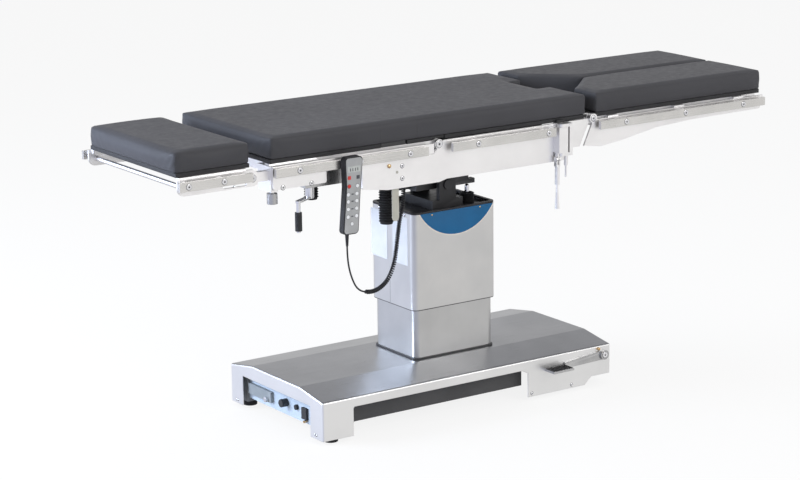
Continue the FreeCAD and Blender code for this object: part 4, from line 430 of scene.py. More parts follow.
def mergedCopy(node):
    bm = bmesh.new()
    bm.from_mesh(frame["nodes"][node].data)
    bmesh.ops.remove_doubles(bm, verts=bm.verts, dist=copySet["merge"])
    bmesh.ops.dissolve_limit(bm, angle_limit=copySet["flat"], verts=bm.verts, edges=bm.edges)
    return bm


def easeEdges(bm, width):
    hard = [e for e in bm.edges if e.is_manifold and e.calc_face_angle(0) > copySet["hard"]]
    if width and hard:
        bmesh.ops.bevel(bm, geom=hard, offset=width, segments=2, profile=0.5, affect="EDGES",
                        clamp_overlap=True, material=-1)


def islands(bm):
    left = set(bm.faces)
    while left:
        found, edge = set(), [left.pop()]
        while edge:
            face = edge.pop()
            found.add(face)
            for loopEdge in face.edges:
                for other in loopEdge.link_faces:
                    if other in left:
                        left.discard(other)
                        edge.append(other)
        yield found


# The rails on the head and leg frames: everything outside this side and above this level
railPaintSet = {"side": 269.8 * mm, "level": 802.5 * mm}


def paintRail(bm):
    for face in bm.faces:
        middle = face.calc_center_median()
        onRail = abs(middle.y) > railPaintSet["side"] and middle.z > railPaintSet["level"]
        face.material_index = int(onRail)


# Gaiter of the push rod: drawn shorter than the solid
gaiterSet = {"shorter": 0.66, "keep": 0.40}


def shortenGaiter(bm):
    foot = min(v.co.z for v in bm.verts)
    bmesh.ops.scale(bm, vec=(1, 1, gaiterSet["shorter"]), space=Matrix.Translation((0, 0, -foot)),
                    verts=bm.verts)


# Painted shade and light on one steel: faces that look up get the darker copy, the others the lighter
def paintShadedTop(bm):
    for face in bm.faces:
        face.material_index = int(face.normal.z > 0.5)


# Fittings of the head-end panel by the place of their middle, each with the number of its finish
fittingSpots = [
    {"y": 120 * mm, "look": 0},  # battery case
    {"y": 76 * mm, "look": 1},  # thumb screw
    {"y": -18 * mm, "look": 2},  # supply plug
    {"y": -76 * mm, "look": 2},  # small socket
    {"y": -121 * mm, "look": 2},  # mains inlet
    {"y": -127 * mm, "z": 38 * mm, "look": 3},  # earth stud
]


def paintFittings(bm):
    for island in islands(bm):
        ys = [v.co.y for face in island for v in face.verts]
        zs = [v.co.z for face in island for v in face.verts]
        y, z = (min(ys) + max(ys)) / 2, (min(zs) + max(zs)) / 2
        nearest = min(fittingSpots, key=lambda spot: abs(spot["y"] - y) + abs(spot.get("z", z) - z))
        for face in island:
            face.material_index = nearest["look"]


def dress(node, finish=None, paint=None):
    bm = mergedCopy(node)
    keys = finish or finishOfSlot[slotOf[node]]
    if paint:
        paint(bm)
    easeEdges(bm, easedEdge.get(node, easedEdge["default"]))
    piece = finishPiece(node + "_piece", bm, keys, bodyOf[node], slotOf[node])
    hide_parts(node)
    return piece


softNodes = {"back_pad", "kidney_pad", "hinge_pad", "seat_pad", "head_pad", "leg_pad_near", "leg_pad_far",
             "handset_lead", "curly_cord", "handset_face"}
# Nodes with a finish of their own, or with faces painted or moved
special = {
    # the base cover and the lower column cover carry painted shade and light in their colour
    "base_cover": (["litSideSteel", "shadedTopSteel"], paintShadedTop), "column_lower_cover": ("lowerSteel", None),
    "base_trim": ("kickPaint", None), "base_chassis": ("framePaint", None),
    "castor_carrier": ("framePaint", None),
    "panel_fittings": (["greyPlastic", "chrome", "blackPlastic", "brass"], paintFittings),
    "tilt_gaiter": (None, shortenGaiter), "slide_lever": ("stripPlastic", None),
    "head_frame": (["plateSteel", "railSteel"], paintRail),
    "leg_frame_near": (["plateSteel", "railSteel"], paintRail),
    "leg_frame_far": (["plateSteel", "railSteel"], paintRail),
}
dressed = {}
for node in frame["nodes"]:
    if node not in softNodes:
        keys, paint = special.get(node, (None, None))
        dressed[node] = dress(node, keys, paint)
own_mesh(dressed["tilt_gaiter"])
print("hard pieces dressed")


# Pads: one outline per cushion, voxel remesh, cloth under pressure, then cut at the joints
padSet = {
    "voxel": 5.0 * mm, "shrink": 2.0 * mm, "cornerRound": 6 * mm, "topRound": 3.5 * mm, "lowRound": 3 * mm,
    "heldHigh": 3 * mm, "pressure": 2.5, "quality": 4, "mass": 0.4, "stiffness": 30, "bending": 4,
    "frames": 10, "cap": 3.5 * mm, "creaseReach": 140 * mm, "creaseHigh": 0.8 * mm, "creaseSlant": 1.2,
    "creaseRate": 150, "creaseDrift": 3, "driftScale": 14, "flat": 0.75,
}


def padBlank(outline, low, high, values):
    bm = bmesh.new()
    face = bm.faces.new([bm.verts.new((x, y, low)) for x, y in outline])
    made = bmesh.ops.extrude_face_region(bm, geom=[face])["geom"]
    bmesh.ops.translate(bm, verts=[v for v in made if isinstance(v, bmesh.types.BMVert)],
                        vec=(0, 0, high - low))
    bmesh.ops.recalc_face_normals(bm, faces=bm.faces)
    upright = [e for e in bm.edges if abs(e.verts[0].co.z - e.verts[1].co.z) > 1e-4]
    bmesh.ops.bevel(bm, geom=upright, offset=values["cornerRound"], segments=3, profile=0.5, affect="EDGES",
                    material=-1)
    for level, size in ((high, values["topRound"]), (low, values["lowRound"])):
        ring = [e for e in bm.edges if all(abs(v.co.z - level) < 1e-5 for v in e.verts)]
        bmesh.ops.bevel(bm, geom=ring, offset=size, segments=2, profile=0.5, affect="EDGES", material=-1)
    return bm


def shownMesh(piece):
    return bpy.data.meshes.new_from_object(piece.evaluated_get(bpy.context.evaluated_depsgraph_get()))


def stuffed(name, outline, low, high, values):
    piece = linked(name, padBlank(outline, low, high, values))
    remesh = piece.modifiers.new("remesh", "REMESH")
    remesh.mode = "VOXEL"
    remesh.voxel_size = values["voxel"]
    piece.data = shownMesh(piece)
    piece.modifiers.clear()
    rest = [v.co.copy() for v in piece.data.vertices]
    held = piece.vertex_groups.new(name="held")
    held.add([i for i, co in enumerate(rest) if co.z < low + values["heldHigh"]], 1.0, "REPLACE")
    cloth = piece.modifiers.new("cloth", "CLOTH")
    cloth.settings.quality = values["quality"]
    cloth.settings.mass = values["mass"]
    cloth.settings.tension_stiffness = values["stiffness"]
    cloth.settings.compression_stiffness = values["stiffness"]
    cloth.settings.bending_stiffness = values["bending"]
    cloth.settings.use_pressure = True
    cloth.settings.uniform_pressure_force = values["pressure"]
    cloth.settings.vertex_group_mass = "held"
    cloth.settings.effector_weights.gravity = 0
    cloth.point_cache.frame_end = values["frames"]
    for number in range(1, values["frames"] + 1):
        bpy.context.scene.frame_set(number)
    swollen = shownMesh(piece)
    moved = [v.co.copy() for v in swollen.vertices]
    piece.modifiers.clear()
    bpy.context.scene.frame_set(1)
    for vertex, start, end in zip(piece.data.vertices, rest, moved):
        step = end - start
        vertex.co = start + step * min(1.0, values["cap"] / max(step.length, 1e-9))
    piece.vertex_groups.clear()
    return piece


def creased(piece, outline, values):
    # soft slanting folds in the sides, which fade away from each upright corner
    mesh = piece.data
    mesh.update()
    normals = [v.normal.copy() for v in mesh.vertices]
    for vertex, normal in zip(mesh.vertices, normals):
        if abs(normal.z) > values["flat"]:
            continue
        reach = min(math.hypot(vertex.co.x - x, vertex.co.y - y) for x, y in outline)
        if reach < values["creaseReach"]:
            fade = (1 - reach / values["creaseReach"]) ** 2
            drift = values["creaseDrift"] * noise.noise(vertex.co * values["driftScale"])
            wave = math.sin((reach * values["creaseSlant"] + vertex.co.z) * values["creaseRate"] + drift)
            vertex.co += normal * values["creaseHigh"] * fade * wave
    mesh.update()


def cushionEnd(piece, name, plane, keep):
    # the part of a cushion on one side of a plane x = const; keep is -1 or 1
    bm = bmesh.new()
    bm.from_mesh(piece.data)
    cut = bmesh.ops.bisect_plane(bm, geom=bm.verts[:] + bm.edges[:] + bm.faces[:], plane_co=(plane, 0, 0),
                                 plane_no=(1, 0, 0), clear_outer=keep < 0, clear_inner=keep > 0)["geom_cut"]
    rim = [e for e in cut if isinstance(e, bmesh.types.BMEdge)]
    bmesh.ops.edgeloop_fill(bm, edges=rim)
    return linked(name, bm)


def finishPad(piece, body=None):
    piece.data.materials.clear()
    piece.data.materials.append(materials["padCover"])
    piece.data.shade_smooth()
    piece.data.set_sharp_from_angle(angle=math.radians(60))
    if body:
        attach(piece, body)


def corner(node, which):
    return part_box(node)[which]


# Long cushion: back, kidney bridge, hinge and seat in one, with the notch of the seat end
longPadSet = {**padSet, "notchHead": 333 * mm, "notchHalf": 70 * mm, "halfWidth": 247.2 * mm,
              "cutGap": 0.15 * mm}


def mainCushion(values):
    low, high = corner("back_pad", 0).z, corner("back_pad", 1).z
    s = values["shrink"]
    head, leg, half = corner("back_pad", 0).x + s, corner("seat_pad", 1).x - s, corner("seat_pad", 1).y - s
    notchHead, notchHalf = values["notchHead"] + s, values["notchHalf"] + s
    outline = [(head, -half), (leg, -half), (leg, -notchHalf), (notchHead, -notchHalf),
               (notchHead, notchHalf), (leg, notchHalf), (leg, half), (head, half)]
    whole = stuffed("whole_cushion", outline, low, high - s, values)
    creased(whole, [(head, -half), (leg, -half), (leg, half), (head, half)], values)
    for vertex in whole.data.vertices:  # the cushion drops between the side plates
        vertex.co.y = max(-values["halfWidth"], min(values["halfWidth"], vertex.co.y))
    return whole


# Sewn seam down an upright corner: a chain of short beads on the cushion's own surface
seamSet = {"radius": 0.9 * mm, "beads": 12, "low": 5 * mm, "high": 7 * mm, "steps": 8}


def seamBead(whole, corners, name, body, values=seamSet):
    tree = BVHTree.FromPolygons([v.co for v in whole.data.vertices],
                                [tuple(p.vertices) for p in whole.data.polygons])
    bm = bmesh.new()
    low, high = corner("back_pad", 0).z + values["low"], corner("back_pad", 1).z - values["high"]
    for x, y in corners:
        levels = [low + (high - low) * number / values["beads"] for number in range(values["beads"] + 1)]
        beads = [tree.find_nearest(Vector((x, y, level)))[0] for level in levels]
        for start, end in zip(beads, beads[1:]):
            peg(bm, values["radius"], 0, (end - start).length, start, end - start, values["steps"])
    return finishPiece(name, bm, "padCover", body, "pad_cover", weighted=False)


whole = mainCushion(longPadSet)
cutGap = longPadSet["cutGap"]
cutHead = (corner("back_pad", 1).x + corner("kidney_pad", 0).x) / 2
cutLeg = (corner("kidney_pad", 1).x + corner("hinge_pad", 0).x) / 2
backCushion = cushionEnd(whole, "back_cushion", cutHead - cutGap, -1)
middle = cushionEnd(whole, "middle_cushion", cutHead + cutGap, 1)
kidneyCushion = cushionEnd(middle, "kidney_cushion", cutLeg - cutGap, -1)
seatCushion = cushionEnd(whole, "seat_cushion", cutLeg + cutGap, 1)
finishPad(backCushion, "back_section")
finishPad(kidneyCushion, "kidney_bridge")
finishPad(seatCushion)
corner("hinge_pad", 0).x
corner("hinge_pad", 1).x
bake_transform(seatCushion)
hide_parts("back_pad")
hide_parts("kidney_pad")
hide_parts("hinge_pad", "seat_pad")
headEnd, legEnd = corner("back_pad", 0).x + padSet["shrink"], corner("seat_pad", 1).x - padSet["shrink"]
side = corner("seat_pad", 1).y - padSet["shrink"]
seamBead(whole, [(headEnd, -side), (headEnd, side)], "back_cushion_seams", "back_section")
seamBead(whole, [(legEnd, -side), (legEnd, side)], "seat_cushion_seams", "table_frame")
bpy.data.objects.remove(middle)
print("main cushion made")


# Head cushion: rounder at its corners and along its top than the others
headPadSet = {**padSet, "cornerRound": 20 * mm, "topRound": 8 * mm, "creaseHigh": 0.9 * mm}


def headCushion(values):
    low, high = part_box("head_pad")
    s = values["shrink"]
    outline = [(low.x + s, low.y + s), (high.x - s, low.y + s), (high.x - s, high.y - s),
               (low.x + s, high.y - s)]
    piece = stuffed("head_cushion", outline, low.z, high.z - s, values)
    creased(piece, outline, values)
    finishPad(piece, "head_section")
    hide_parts("head_pad")
    seamBead(piece, outline, "head_cushion_seams", "head_section")


# Leg cushions: the slanting inner corner starts at the notch
legPadSet = {**padSet, "notchX": 564 * mm, "notchY": 140 * mm}


def legCushions(values):
    low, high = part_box("leg_pad_near")
    s = values["shrink"]
    outline = [(low.x + s, low.y + s), (high.x - s, low.y + s), (high.x - s, high.y - s),
               (values["notchX"] + s, high.y - s), (low.x + s, -values["notchY"] - s)]
    near = stuffed("leg_cushion_near", outline, low.z, high.z - s, values)
    creased(near, outline[:2], values)
    bm = bmesh.new()
    bm.from_mesh(near.data)
    bmesh.ops.scale(bm, vec=(1, -1, 1), verts=bm.verts)
    bmesh.ops.reverse_faces(bm, faces=bm.faces)
    far = linked("leg_cushion_far", bm)
    for side, piece, sign in (("near", near, 1), ("far", far, -1)):
        finishPad(piece, "leg_" + side)
        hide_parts("leg_pad_" + side)
        corners = [(x, y * sign) for x, y in outline[:2]]
        seamBead(piece, corners, "leg_cushion_seams_" + side, "leg_" + side)


headCushion(headPadSet)
legCushions(legPadSet)
bpy.data.objects.remove(whole)
print("head and leg cushions made")


# Cords: the route's points are the part's own
leadSet = {
    "route": [(-0.499, -0.292, 0.583), (-0.499, -0.292, 0.545), (-0.487, -0.2905, 0.494),
              (-0.462, -0.287, 0.448), (-0.4375, -0.2835, 0.441)],
    "diameter": 5 * mm,
}
curlSet = {
    "route": [(-0.4375, -0.2835, 0.441), (-0.413, -0.280, 0.434), (-0.372, -0.270, 0.440),
              (-0.339, -0.260, 0.458), (-0.313, -0.250, 0.494), (-0.300, -0.243, 0.538),
              (-0.290, -0.238, 0.584), (-0.280, -0.234, 0.624), (-0.267, -0.2315, 0.662),
              (-0.264, -0.230, 0.705), (-0.264, -0.230, 0.745)],
    "outside": 14 * mm, "wire": 4.6 * mm, "pitch": 6.6 * mm, "pointsPerTurn": 12,
}


def routeCurve(name, route, radius=0.0):
    data = bpy.data.curves.new(name, "CURVE")
    data.dimensions = "3D"
    data.resolution_u = 12
    spline = data.splines.new("NURBS")
    spline.points.add(len(route) - 1)
    for point, spot in zip(spline.points, route):
        point.co = (*spot, 1)
    spline.order_u = 3
    spline.use_endpoint_u = True
    data.bevel_depth = radius
    data.bevel_resolution = 4
    data.use_fill_caps = True
    curve = bpy.data.objects.new(name, data)
    bpy.context.scene.collection.objects.link(curve)
    return curve


def alongRoute(route):
    curve = routeCurve("route", route)
    mesh = bpy.data.meshes.new_from_object(curve)
    points = [v.co.copy() for v in mesh.vertices]
    bpy.data.objects.remove(curve)
    return points


def lengthOf(points):
    return sum((b - a).length for a, b in zip(points, points[1:]))


def pointAt(points, distance):
    for start, end in zip(points, points[1:]):
        step = (end - start).length
        if distance <= step:
            return start.lerp(end, distance / step), (end - start).normalized()
        distance -= step
    return points[-1], (points[-1] - points[-2]).normalized()


def curlyRoute(values):
    centre = alongRoute(values["route"])
    total = lengthOf(centre)
    turns = int(total / values["pitch"])
    count = turns * values["pointsPerTurn"]
    side = Vector((0, 1, 0))
    helix = []
    for number in range(count + 1):
        spot, along = pointAt(centre, total * number / count)
        side = (side - along * side.dot(along)).normalized()
        angle = 2 * math.pi * number / values["pointsPerTurn"]
        fade = min(1.0, number / values["pointsPerTurn"], (count - number) / values["pointsPerTurn"])
        reach = (values["outside"] - values["wire"]) / 2 * fade
        helix.append(spot + (side * math.cos(angle) + along.cross(side) * math.sin(angle)) * reach)
    return helix


lead = routeCurve("handset_lead_cord", leadSet["route"], leadSet["diameter"] / 2)
lead.data.materials.append(materials["cordSheath"])
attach(lead, "back_section")
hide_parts("handset_lead")
leadLength = lengthOf(alongRoute(leadSet["route"]))
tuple(leadSet["route"][0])

helix = curlyRoute(curlSet)
curl = routeCurve("curly_cord_wire", helix, curlSet["wire"] / 2)
curl.data.resolution_u = 2
curl.data.bevel_resolution = 2
curl.data.materials.append(materials["cordSheath"])
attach(curl, "back_section")
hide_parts("curly_cord")
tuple(curlSet["route"][0])
lengthOf(helix)
print("cords made, the curly one from", round(lengthOf(helix), 2), "m of wire")


# Hand control: printed film with its window and keys, placed by (x, z) on the film
handsetSet = {
    "filmThick": 2 * mm, "filmEdge": 0.5 * mm, "cutAbove": 0.01 * mm,
    "keyHigh": 1.0 * mm, "keyRadius": 5.4 * mm, "keyFoot": -0.3 * mm, "keyRim": 0.6, "keyTop": 0.86,
    "dishShare": 0.4, "dishRim": 0.85, "dishLow": 0.8, "steps": 20, "ringWide": 0.9 * mm,
    "ringFoot": -0.2 * mm, "ringHigh": 0.15 * mm, "squareHalf": 5.2 * mm, "squareEdge": 0.6 * mm,
    "squares": [((-0.4965, 0.7800), "keyRed"), ((-0.4675, 0.7795), "keyDark")],
    "rounds": [((-0.4972, 0.7560), "keyRed"), ((-0.4700, 0.7550), "keySilver")],
    "rowLevels": [0.7330, 0.7130, 0.6915, 0.6700], "rowLeft": -0.5005, "rowRight": -0.4725,
    "rowLean": 0.035, "single": (-0.4900, 0.6490),
    "markHalf": 3.6 * mm, "markHigh": 0.15 * mm, "markEdge": 0.05 * mm,
    "windowLow": (-0.5010, 0.7950), "windowHigh": (-0.4600, 0.8115), "windowProud": 0.5 * mm,
    "windowEdge": 0.4 * mm, "bars": 4, "barHalf": 1.4 * mm, "barProud": 0.6 * mm, "barFoot": 3 * mm,
    "barTop": 5 * mm, "sunk": 0.2 * mm,
}


def roundKey(target, ring, spot, film, values):
    r, h, steps = values["keyRadius"], values["keyHigh"], values["steps"]
    place = (spot[0], film, spot[1])
    peg(ring, r + values["ringWide"], values["ringFoot"], values["ringHigh"], place, (0, -1, 0), steps)
    turned(target, [(values["keyFoot"], 0), (values["keyFoot"], r), (h * values["keyRim"], r),
                    (h, r * values["keyTop"]), (h * values["dishRim"], r * values["dishShare"]),
                    (h * values["dishLow"], 0)], place, (0, -1, 0), steps)


def handsetFace(values):
    bm = mergedCopy("handset_face")
    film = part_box("handset_face")[1].y - values["filmThick"]
    # only the plate is kept: the plain keys are cut off level with the film
    cut = bmesh.ops.bisect_plane(bm, geom=bm.verts[:] + bm.edges[:] + bm.faces[:],
                                 plane_co=(0, film + values["cutAbove"], 0),
                                 plane_no=(0, -1, 0), clear_outer=True)["geom_cut"]
    bmesh.ops.holes_fill(bm, edges=[e for e in cut if isinstance(e, bmesh.types.BMEdge)], sides=0)
    easeEdges(bm, values["filmEdge"])
    piece = finishPiece("handset_film", bm, "handsetFilm", "back_section", "handset_face")
    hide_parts("handset_face")

    names = {"keyRed": "handset_red_keys", "keySilver": "handset_grey_keys", "keyDark": "handset_dark_marks",
             "windowGrey": "handset_window"}
    batches = {look: bmesh.new() for look in names}
    sunk, dark = values["sunk"], batches["keyDark"]
    for (x, z), look in values["squares"]:
        s = values["squareHalf"]
        block(batches[look], (x - s, film - values["keyHigh"], z - s),
              (x + s, film - values["keyFoot"], z + s), values["squareEdge"])
    for spot, look in values["rounds"]:
        roundKey(batches[look], dark, spot, film, values)
    for level in values["rowLevels"]:
        shift = (values["rowLevels"][0] - level) * values["rowLean"]
        for x in (values["rowLeft"], values["rowRight"]):
            roundKey(batches["keySilver"], dark, (x - shift, level), film, values)
        middle = (values["rowLeft"] + values["rowRight"]) / 2 - shift
        half = values["markHalf"]  # a plain dark mark between the two keys of a row
        block(dark, (middle - half, film - values["markHigh"], level - half / 2),
              (middle + half, film + sunk, level + half / 2), values["markEdge"])
    roundKey(batches["keySilver"], dark, values["single"], film, values)
    (x0, z0), (x1, z1) = values["windowLow"], values["windowHigh"]
    block(batches["windowGrey"], (x0, film - values["windowProud"], z0), (x1, film + sunk, z1),
          values["windowEdge"])
    for number in range(values["bars"]):  # dull bars in the window
        x = x0 + (x1 - x0) * (number + 1) / (values["bars"] + 1)
        block(dark, (x - values["barHalf"], film - values["barProud"], z0 + values["barFoot"]),
              (x + values["barHalf"], film, z1 - values["barTop"]), values["markEdge"])
    for look, name in names.items():
        finishPiece(name, batches[look], look, "back_section", "handset_face")


handsetFace(handsetSet)
print("hand control made")


# Column: badge plate, two bare plates, their screws and the seam of the cover
columnSet = {
    "badgeLeft": -132 * mm, "badgeRight": 142 * mm, "badgeTop": 588.5 * mm, "badgeFoot": 510 * mm,
    "badgeThick": 0.8 * mm, "badgeSunk": 0.2 * mm, "badgeProud": 0.3 * mm, "badgeBorder": 3.6 * mm,
    "badgeInset": 4.86 * mm, "badgeLift": 0.1 * mm, "badgeRivets": [(-0.084, 0.582), (0.090, 0.583)],
    "rivetOutline": [(-0.2 * mm, 0), (-0.2 * mm, 3 * mm), (0.8 * mm, 2.6 * mm), (1.2 * mm, 1.4 * mm),
                     (1.3 * mm, 0)], "rivetSteps": 20, "arcSteps": 48,
    "barePlates": [(0.024, 0.110), (-0.083, -0.004)], "bareLow": 431 * mm, "bareHigh": 575 * mm,
    "bareThick": 0.6 * mm, "bareEdge": 0.4 * mm, "sunk": 0.3 * mm,
    "screwY": 67 * mm, "screwZ": 582 * mm, "screwRadius": 4.5 * mm,
    "seamY": 12 * mm, "seamLow": 301 * mm, "seamHigh": 388 * mm, "seamHalf": 0.5 * mm, "seamProud": 0.15 * mm,
    "seamEdge": 0.05 * mm,
}


def segmentPlate(bm, left, right, top, foot, face, thick, steps):
    # a plate under a chord: the arc is spun about its centre
    half, deep = (right - left) / 2, top - foot
    radius = (half * half + deep * deep) / (2 * deep)
    centre = Vector(((left + right) / 2, face, foot + radius))
    spread = math.asin(half / radius)
    start = bm.verts.new(centre + Vector((-math.sin(spread) * radius, 0, -math.cos(spread) * radius)))
    bmesh.ops.spin(bm, geom=[start], cent=centre, axis=(0, -1, 0), angle=2 * spread, steps=steps,
                   use_duplicate=False)
    bm.edges.new([v for v in bm.verts if len(v.link_edges) == 1])
    segment = bmesh.ops.edgeloop_fill(bm, edges=bm.edges[:])["faces"]
    made = bmesh.ops.extrude_face_region(bm, geom=segment)["geom"]
    bmesh.ops.translate(bm, verts=[v for v in made if isinstance(v, bmesh.types.BMVert)], vec=(0, -thick, 0))


def screwBatch(name, body, spots):
    bright, dark = bmesh.new(), bmesh.new()
    for centre, normal, radius in spots:
        screwParts(bright, dark, centre, normal, radius, screwSet)
    finishPiece(name, bright, "chrome", body, "machined_steel")
    # the dark lines and sockets are painted shade
    finishPiece(name + "_painted_shade", dark, "darkLine", body, "dark_trim")


def columnTrim(values):
    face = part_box("column_upper_cover")[0].y
    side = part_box("column_upper_cover")[0].x
    thick, inset, sunk = values["badgeThick"], values["badgeInset"], values["sunk"]
    bm = bmesh.new()
    segmentPlate(bm, values["badgeLeft"], values["badgeRight"], values["badgeTop"], values["badgeFoot"],
                 face + values["badgeSunk"], thick, values["arcSteps"])
    finishPiece("badge_border", bm, "badgeEdge", "lift_carriage", "grey_plastic")
    bm = bmesh.new()
    segmentPlate(bm, values["badgeLeft"] + inset, values["badgeRight"] - inset,
                 values["badgeTop"] + values["badgeLift"], values["badgeFoot"] + values["badgeBorder"],
                 face - values["badgeProud"], thick, values["arcSteps"])
    finishPiece("badge_plate", bm, "badgeBlue", "lift_carriage", "blue_panel")
    bm = bmesh.new()
    for x, z in values["badgeRivets"]:
        turned(bm, values["rivetOutline"], (x, face - thick, z), (0, -1, 0), values["rivetSteps"])
    finishPiece("badge_rivets", bm, "brass", "lift_carriage", "machined_steel")
    bm = bmesh.new()
    for low, high in values["barePlates"]:
        block(bm, (side - values["bareThick"], low, values["bareLow"]),
              (side + sunk, high, values["bareHigh"]), values["bareEdge"])
    finishPiece("column_bare_plates", bm, "plateWhite", "lift_carriage", "grey_plastic")
    screwBatch("column_screws", "lift_carriage",
               [((end * side, sign * values["screwY"], values["screwZ"]), (-end, 0, 0), values["screwRadius"])
                for end in (-1, 1) for sign in (-1, 1)])
    bm = bmesh.new()
    block(bm, (side - values["seamProud"], values["seamY"] - values["seamHalf"], values["seamLow"]),
          (side + sunk, values["seamY"] + values["seamHalf"], values["seamHigh"]), values["seamEdge"])
    finishPiece("column_seam", bm, "darkLine", "lift_carriage", "dark_trim")


columnTrim(columnSet)


# Painted shadow: a dark strip under the lower edge of the upper cover, where its overhang shades the lower
# cover, with the cover's own outline
overhangShadowSet = {"high": 2.4 * mm, "shrink": 0.9965, "drop": 2 * mm}


def overhangShadow(values):
    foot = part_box("column_upper_cover")[0].z
    bm = mergedCopy("column_upper_cover")
    bmesh.ops.bisect_plane(bm, geom=bm.verts[:] + bm.edges[:] + bm.faces[:],
                           plane_co=(0, 0, foot + values["high"]), plane_no=(0, 0, 1), clear_outer=True)
    bmesh.ops.bridge_loops(bm, edges=[e for e in bm.edges if e.is_boundary])
    bmesh.ops.scale(bm, vec=(values["shrink"], values["shrink"], 1), verts=bm.verts)
    bmesh.ops.translate(bm, verts=bm.verts, vec=(0, 0, -values["drop"]))
    finishPiece("column_overhang_shadow", bm, "darkLine", "lift_carriage", "black_rubber")


overhangShadow(overhangShadowSet)
print("column trim made")


# Fasteners and small fittings on the side rails, plates and base: (x, z) on both sides of the table
fittingSet = {
    "railLevel": 815.5 * mm, "railRadius": 8.2 * mm,
    "railScrews": {"back_section": [-0.640, -0.440, -0.272], "table_frame": [-0.034, 0.221],
                   "head_section": [-0.991, -0.881]},
    "legRailScrews": [0.514, 0.746, 0.979],
    "plateFace": 256 * mm, "plateScrews": [(-0.285, 0.779), (-0.285, 0.743), (0.262, 0.745)],
    "plateRadius": 6.4 * mm, "outboardFace": 264 * mm, "outboardRadius": 6.8 * mm,
    "outboardScrews": [(-0.687, 0.771), (-0.594, 0.771)],
    "baseScrews": [(0.179, 0.022), (0.3295, 0.022)], "baseRadius": 5 * mm, "endRadius": 3 * mm,
    "endScrews": [(0.2245, 0.0220), (0.2155, 0.0220), (-0.2190, 0.0235), (-0.2100, 0.0235)],
    "foot": -0.3 * mm, "button": (-0.330, 0.784), "buttonRadius": 6 * mm, "buttonRim": 2 * mm,
    "buttonHigh": 3.6 * mm, "buttonRound": 1.4 * mm, "buttonCrown": 0.2 * mm, "buttonSteps": 28,
    "knob": (0.431, 0.118), "knobRadius": 5 * mm, "knobHigh": 7 * mm, "knobRound": 1 * mm,
    "knobSteps": 24,
    "stopHead": 270 * mm, "stopLong": 26 * mm, "stopSide": 250 * mm, "stopLevel": 838.5 * mm,
    "stopRadius": 5.6 * mm, "stopRound": 1 * mm, "stopSteps": 24,
}


def bothSides(spots, face, radius):
    return [((x, sign * face, z), (0, sign, 0), radius) for x, z in spots for sign in (-1, 1)]


def fittings(values):
    outer = -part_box("seat_rails")[0].y
    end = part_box("base_cover")[0].x
    base = -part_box("base_cover")[0].y
    level, radius, foot = values["railLevel"], values["railRadius"], values["foot"]
    for body, places in values["railScrews"].items():
        screwBatch("rail_screws_" + body, body, bothSides([(x, level) for x in places], outer, radius))
    for side, sign in (("near", -1), ("far", 1)):
        screwBatch("rail_screws_leg_" + side, "leg_" + side,
                   [((x, sign * outer, level), (0, sign, 0), radius) for x in values["legRailScrews"]])
    screwBatch("side_plate_screws", "table_frame",
               bothSides(values["plateScrews"], values["plateFace"], values["plateRadius"]))
    screwBatch("outboard_screws", "back_section",
               bothSides(values["outboardScrews"], values["outboardFace"], values["outboardRadius"]))
    screwBatch("base_screws", "base", bothSides(values["baseScrews"], base, values["baseRadius"]))
    screwBatch("end_screws", "base",
               [((end, y, z), (-1, 0, 0), values["endRadius"]) for y, z in values["endScrews"]])
    bm = bmesh.new()
    radius, high, (x, z) = values["buttonRadius"], values["buttonHigh"], values["button"]
    for sign in (-1, 1):
        turned(bm, [(foot, 0), (foot, radius), (values["buttonRim"], radius),
                    (high - values["buttonCrown"], radius - values["buttonRound"]), (high, 0)],
               (x, sign * values["plateFace"], z), (0, sign, 0), values["buttonSteps"])
    finishPiece("side_plate_buttons", bm, "brass", "table_frame", "machined_steel")
    bm = bmesh.new()
    radius, high, (x, z) = values["knobRadius"], values["knobHigh"], values["knob"]
    turned(bm, [(foot, 0), (foot, radius), (high - values["knobRound"], radius),
                (high, radius - values["knobRound"]), (high, 0)], (x, -base, z), (0, -1, 0),
           values["knobSteps"])
    finishPiece("base_stop_button", bm, "brass", "base", "machined_steel")
    bm = bmesh.new()
    radius, long, edge = values["stopRadius"], values["stopLong"], values["stopRound"]
    for sign in (-1, 1):
        turned(bm, [(0, 0), (0, radius - edge), (edge, radius), (long - edge, radius),
                    (long, radius - edge), (long, 0)],
               (values["stopHead"], sign * values["stopSide"], values["stopLevel"]), (1, 0, 0),
               values["stopSteps"])
    finishPiece("seat_stops", bm, "blackRubber", "table_frame", "black_rubber")


fittings(fittingSet)

# Ribs of the pedal's tread, from the head end to the leg end, and the screw of its pivot
pedalSet = {
    "head": 233 * mm, "leg": 300 * mm, "inner": -255.5 * mm, "outer": -295 * mm, "foot": 88.5 * mm,
    "top": 91.2 * mm, "ribs": 8, "ribHalf": 2 * mm, "ribRound": 0.6 * mm,
    "pivot": (0.449, -0.2663, 0.098), "pivotRadius": 9 * mm,
}


def pedalTread(values):
    bm = bmesh.new()
    for number in range(values["ribs"]):
        x = values["head"] + (values["leg"] - values["head"]) * number / (values["ribs"] - 1)
        block(bm, (x - values["ribHalf"], values["outer"], values["foot"]),
              (x + values["ribHalf"], values["inner"], values["top"]), values["ribRound"])
    finishPiece("pedal_tread", bm, "blackRubber", "brake_pedal", "black_rubber")
    screwBatch("pedal_pivot_screw", "brake_pedal", [(values["pivot"], (0, -1, 0), values["pivotRadius"])])


pedalTread(pedalSet)

# Heads of the hinge pins: x, face, level and radius
pinSet = {
    "back_hinge_pins": ("table_frame", -0.156, 0.256, 0.826, 11 * mm),
    "head_hinge_pins": ("head_section", -0.7775, 0.256, 0.807, 10 * mm),
    "leg_hinge_pin_": ("leg_", 0.402, 0.261, 0.836, 9 * mm),
}


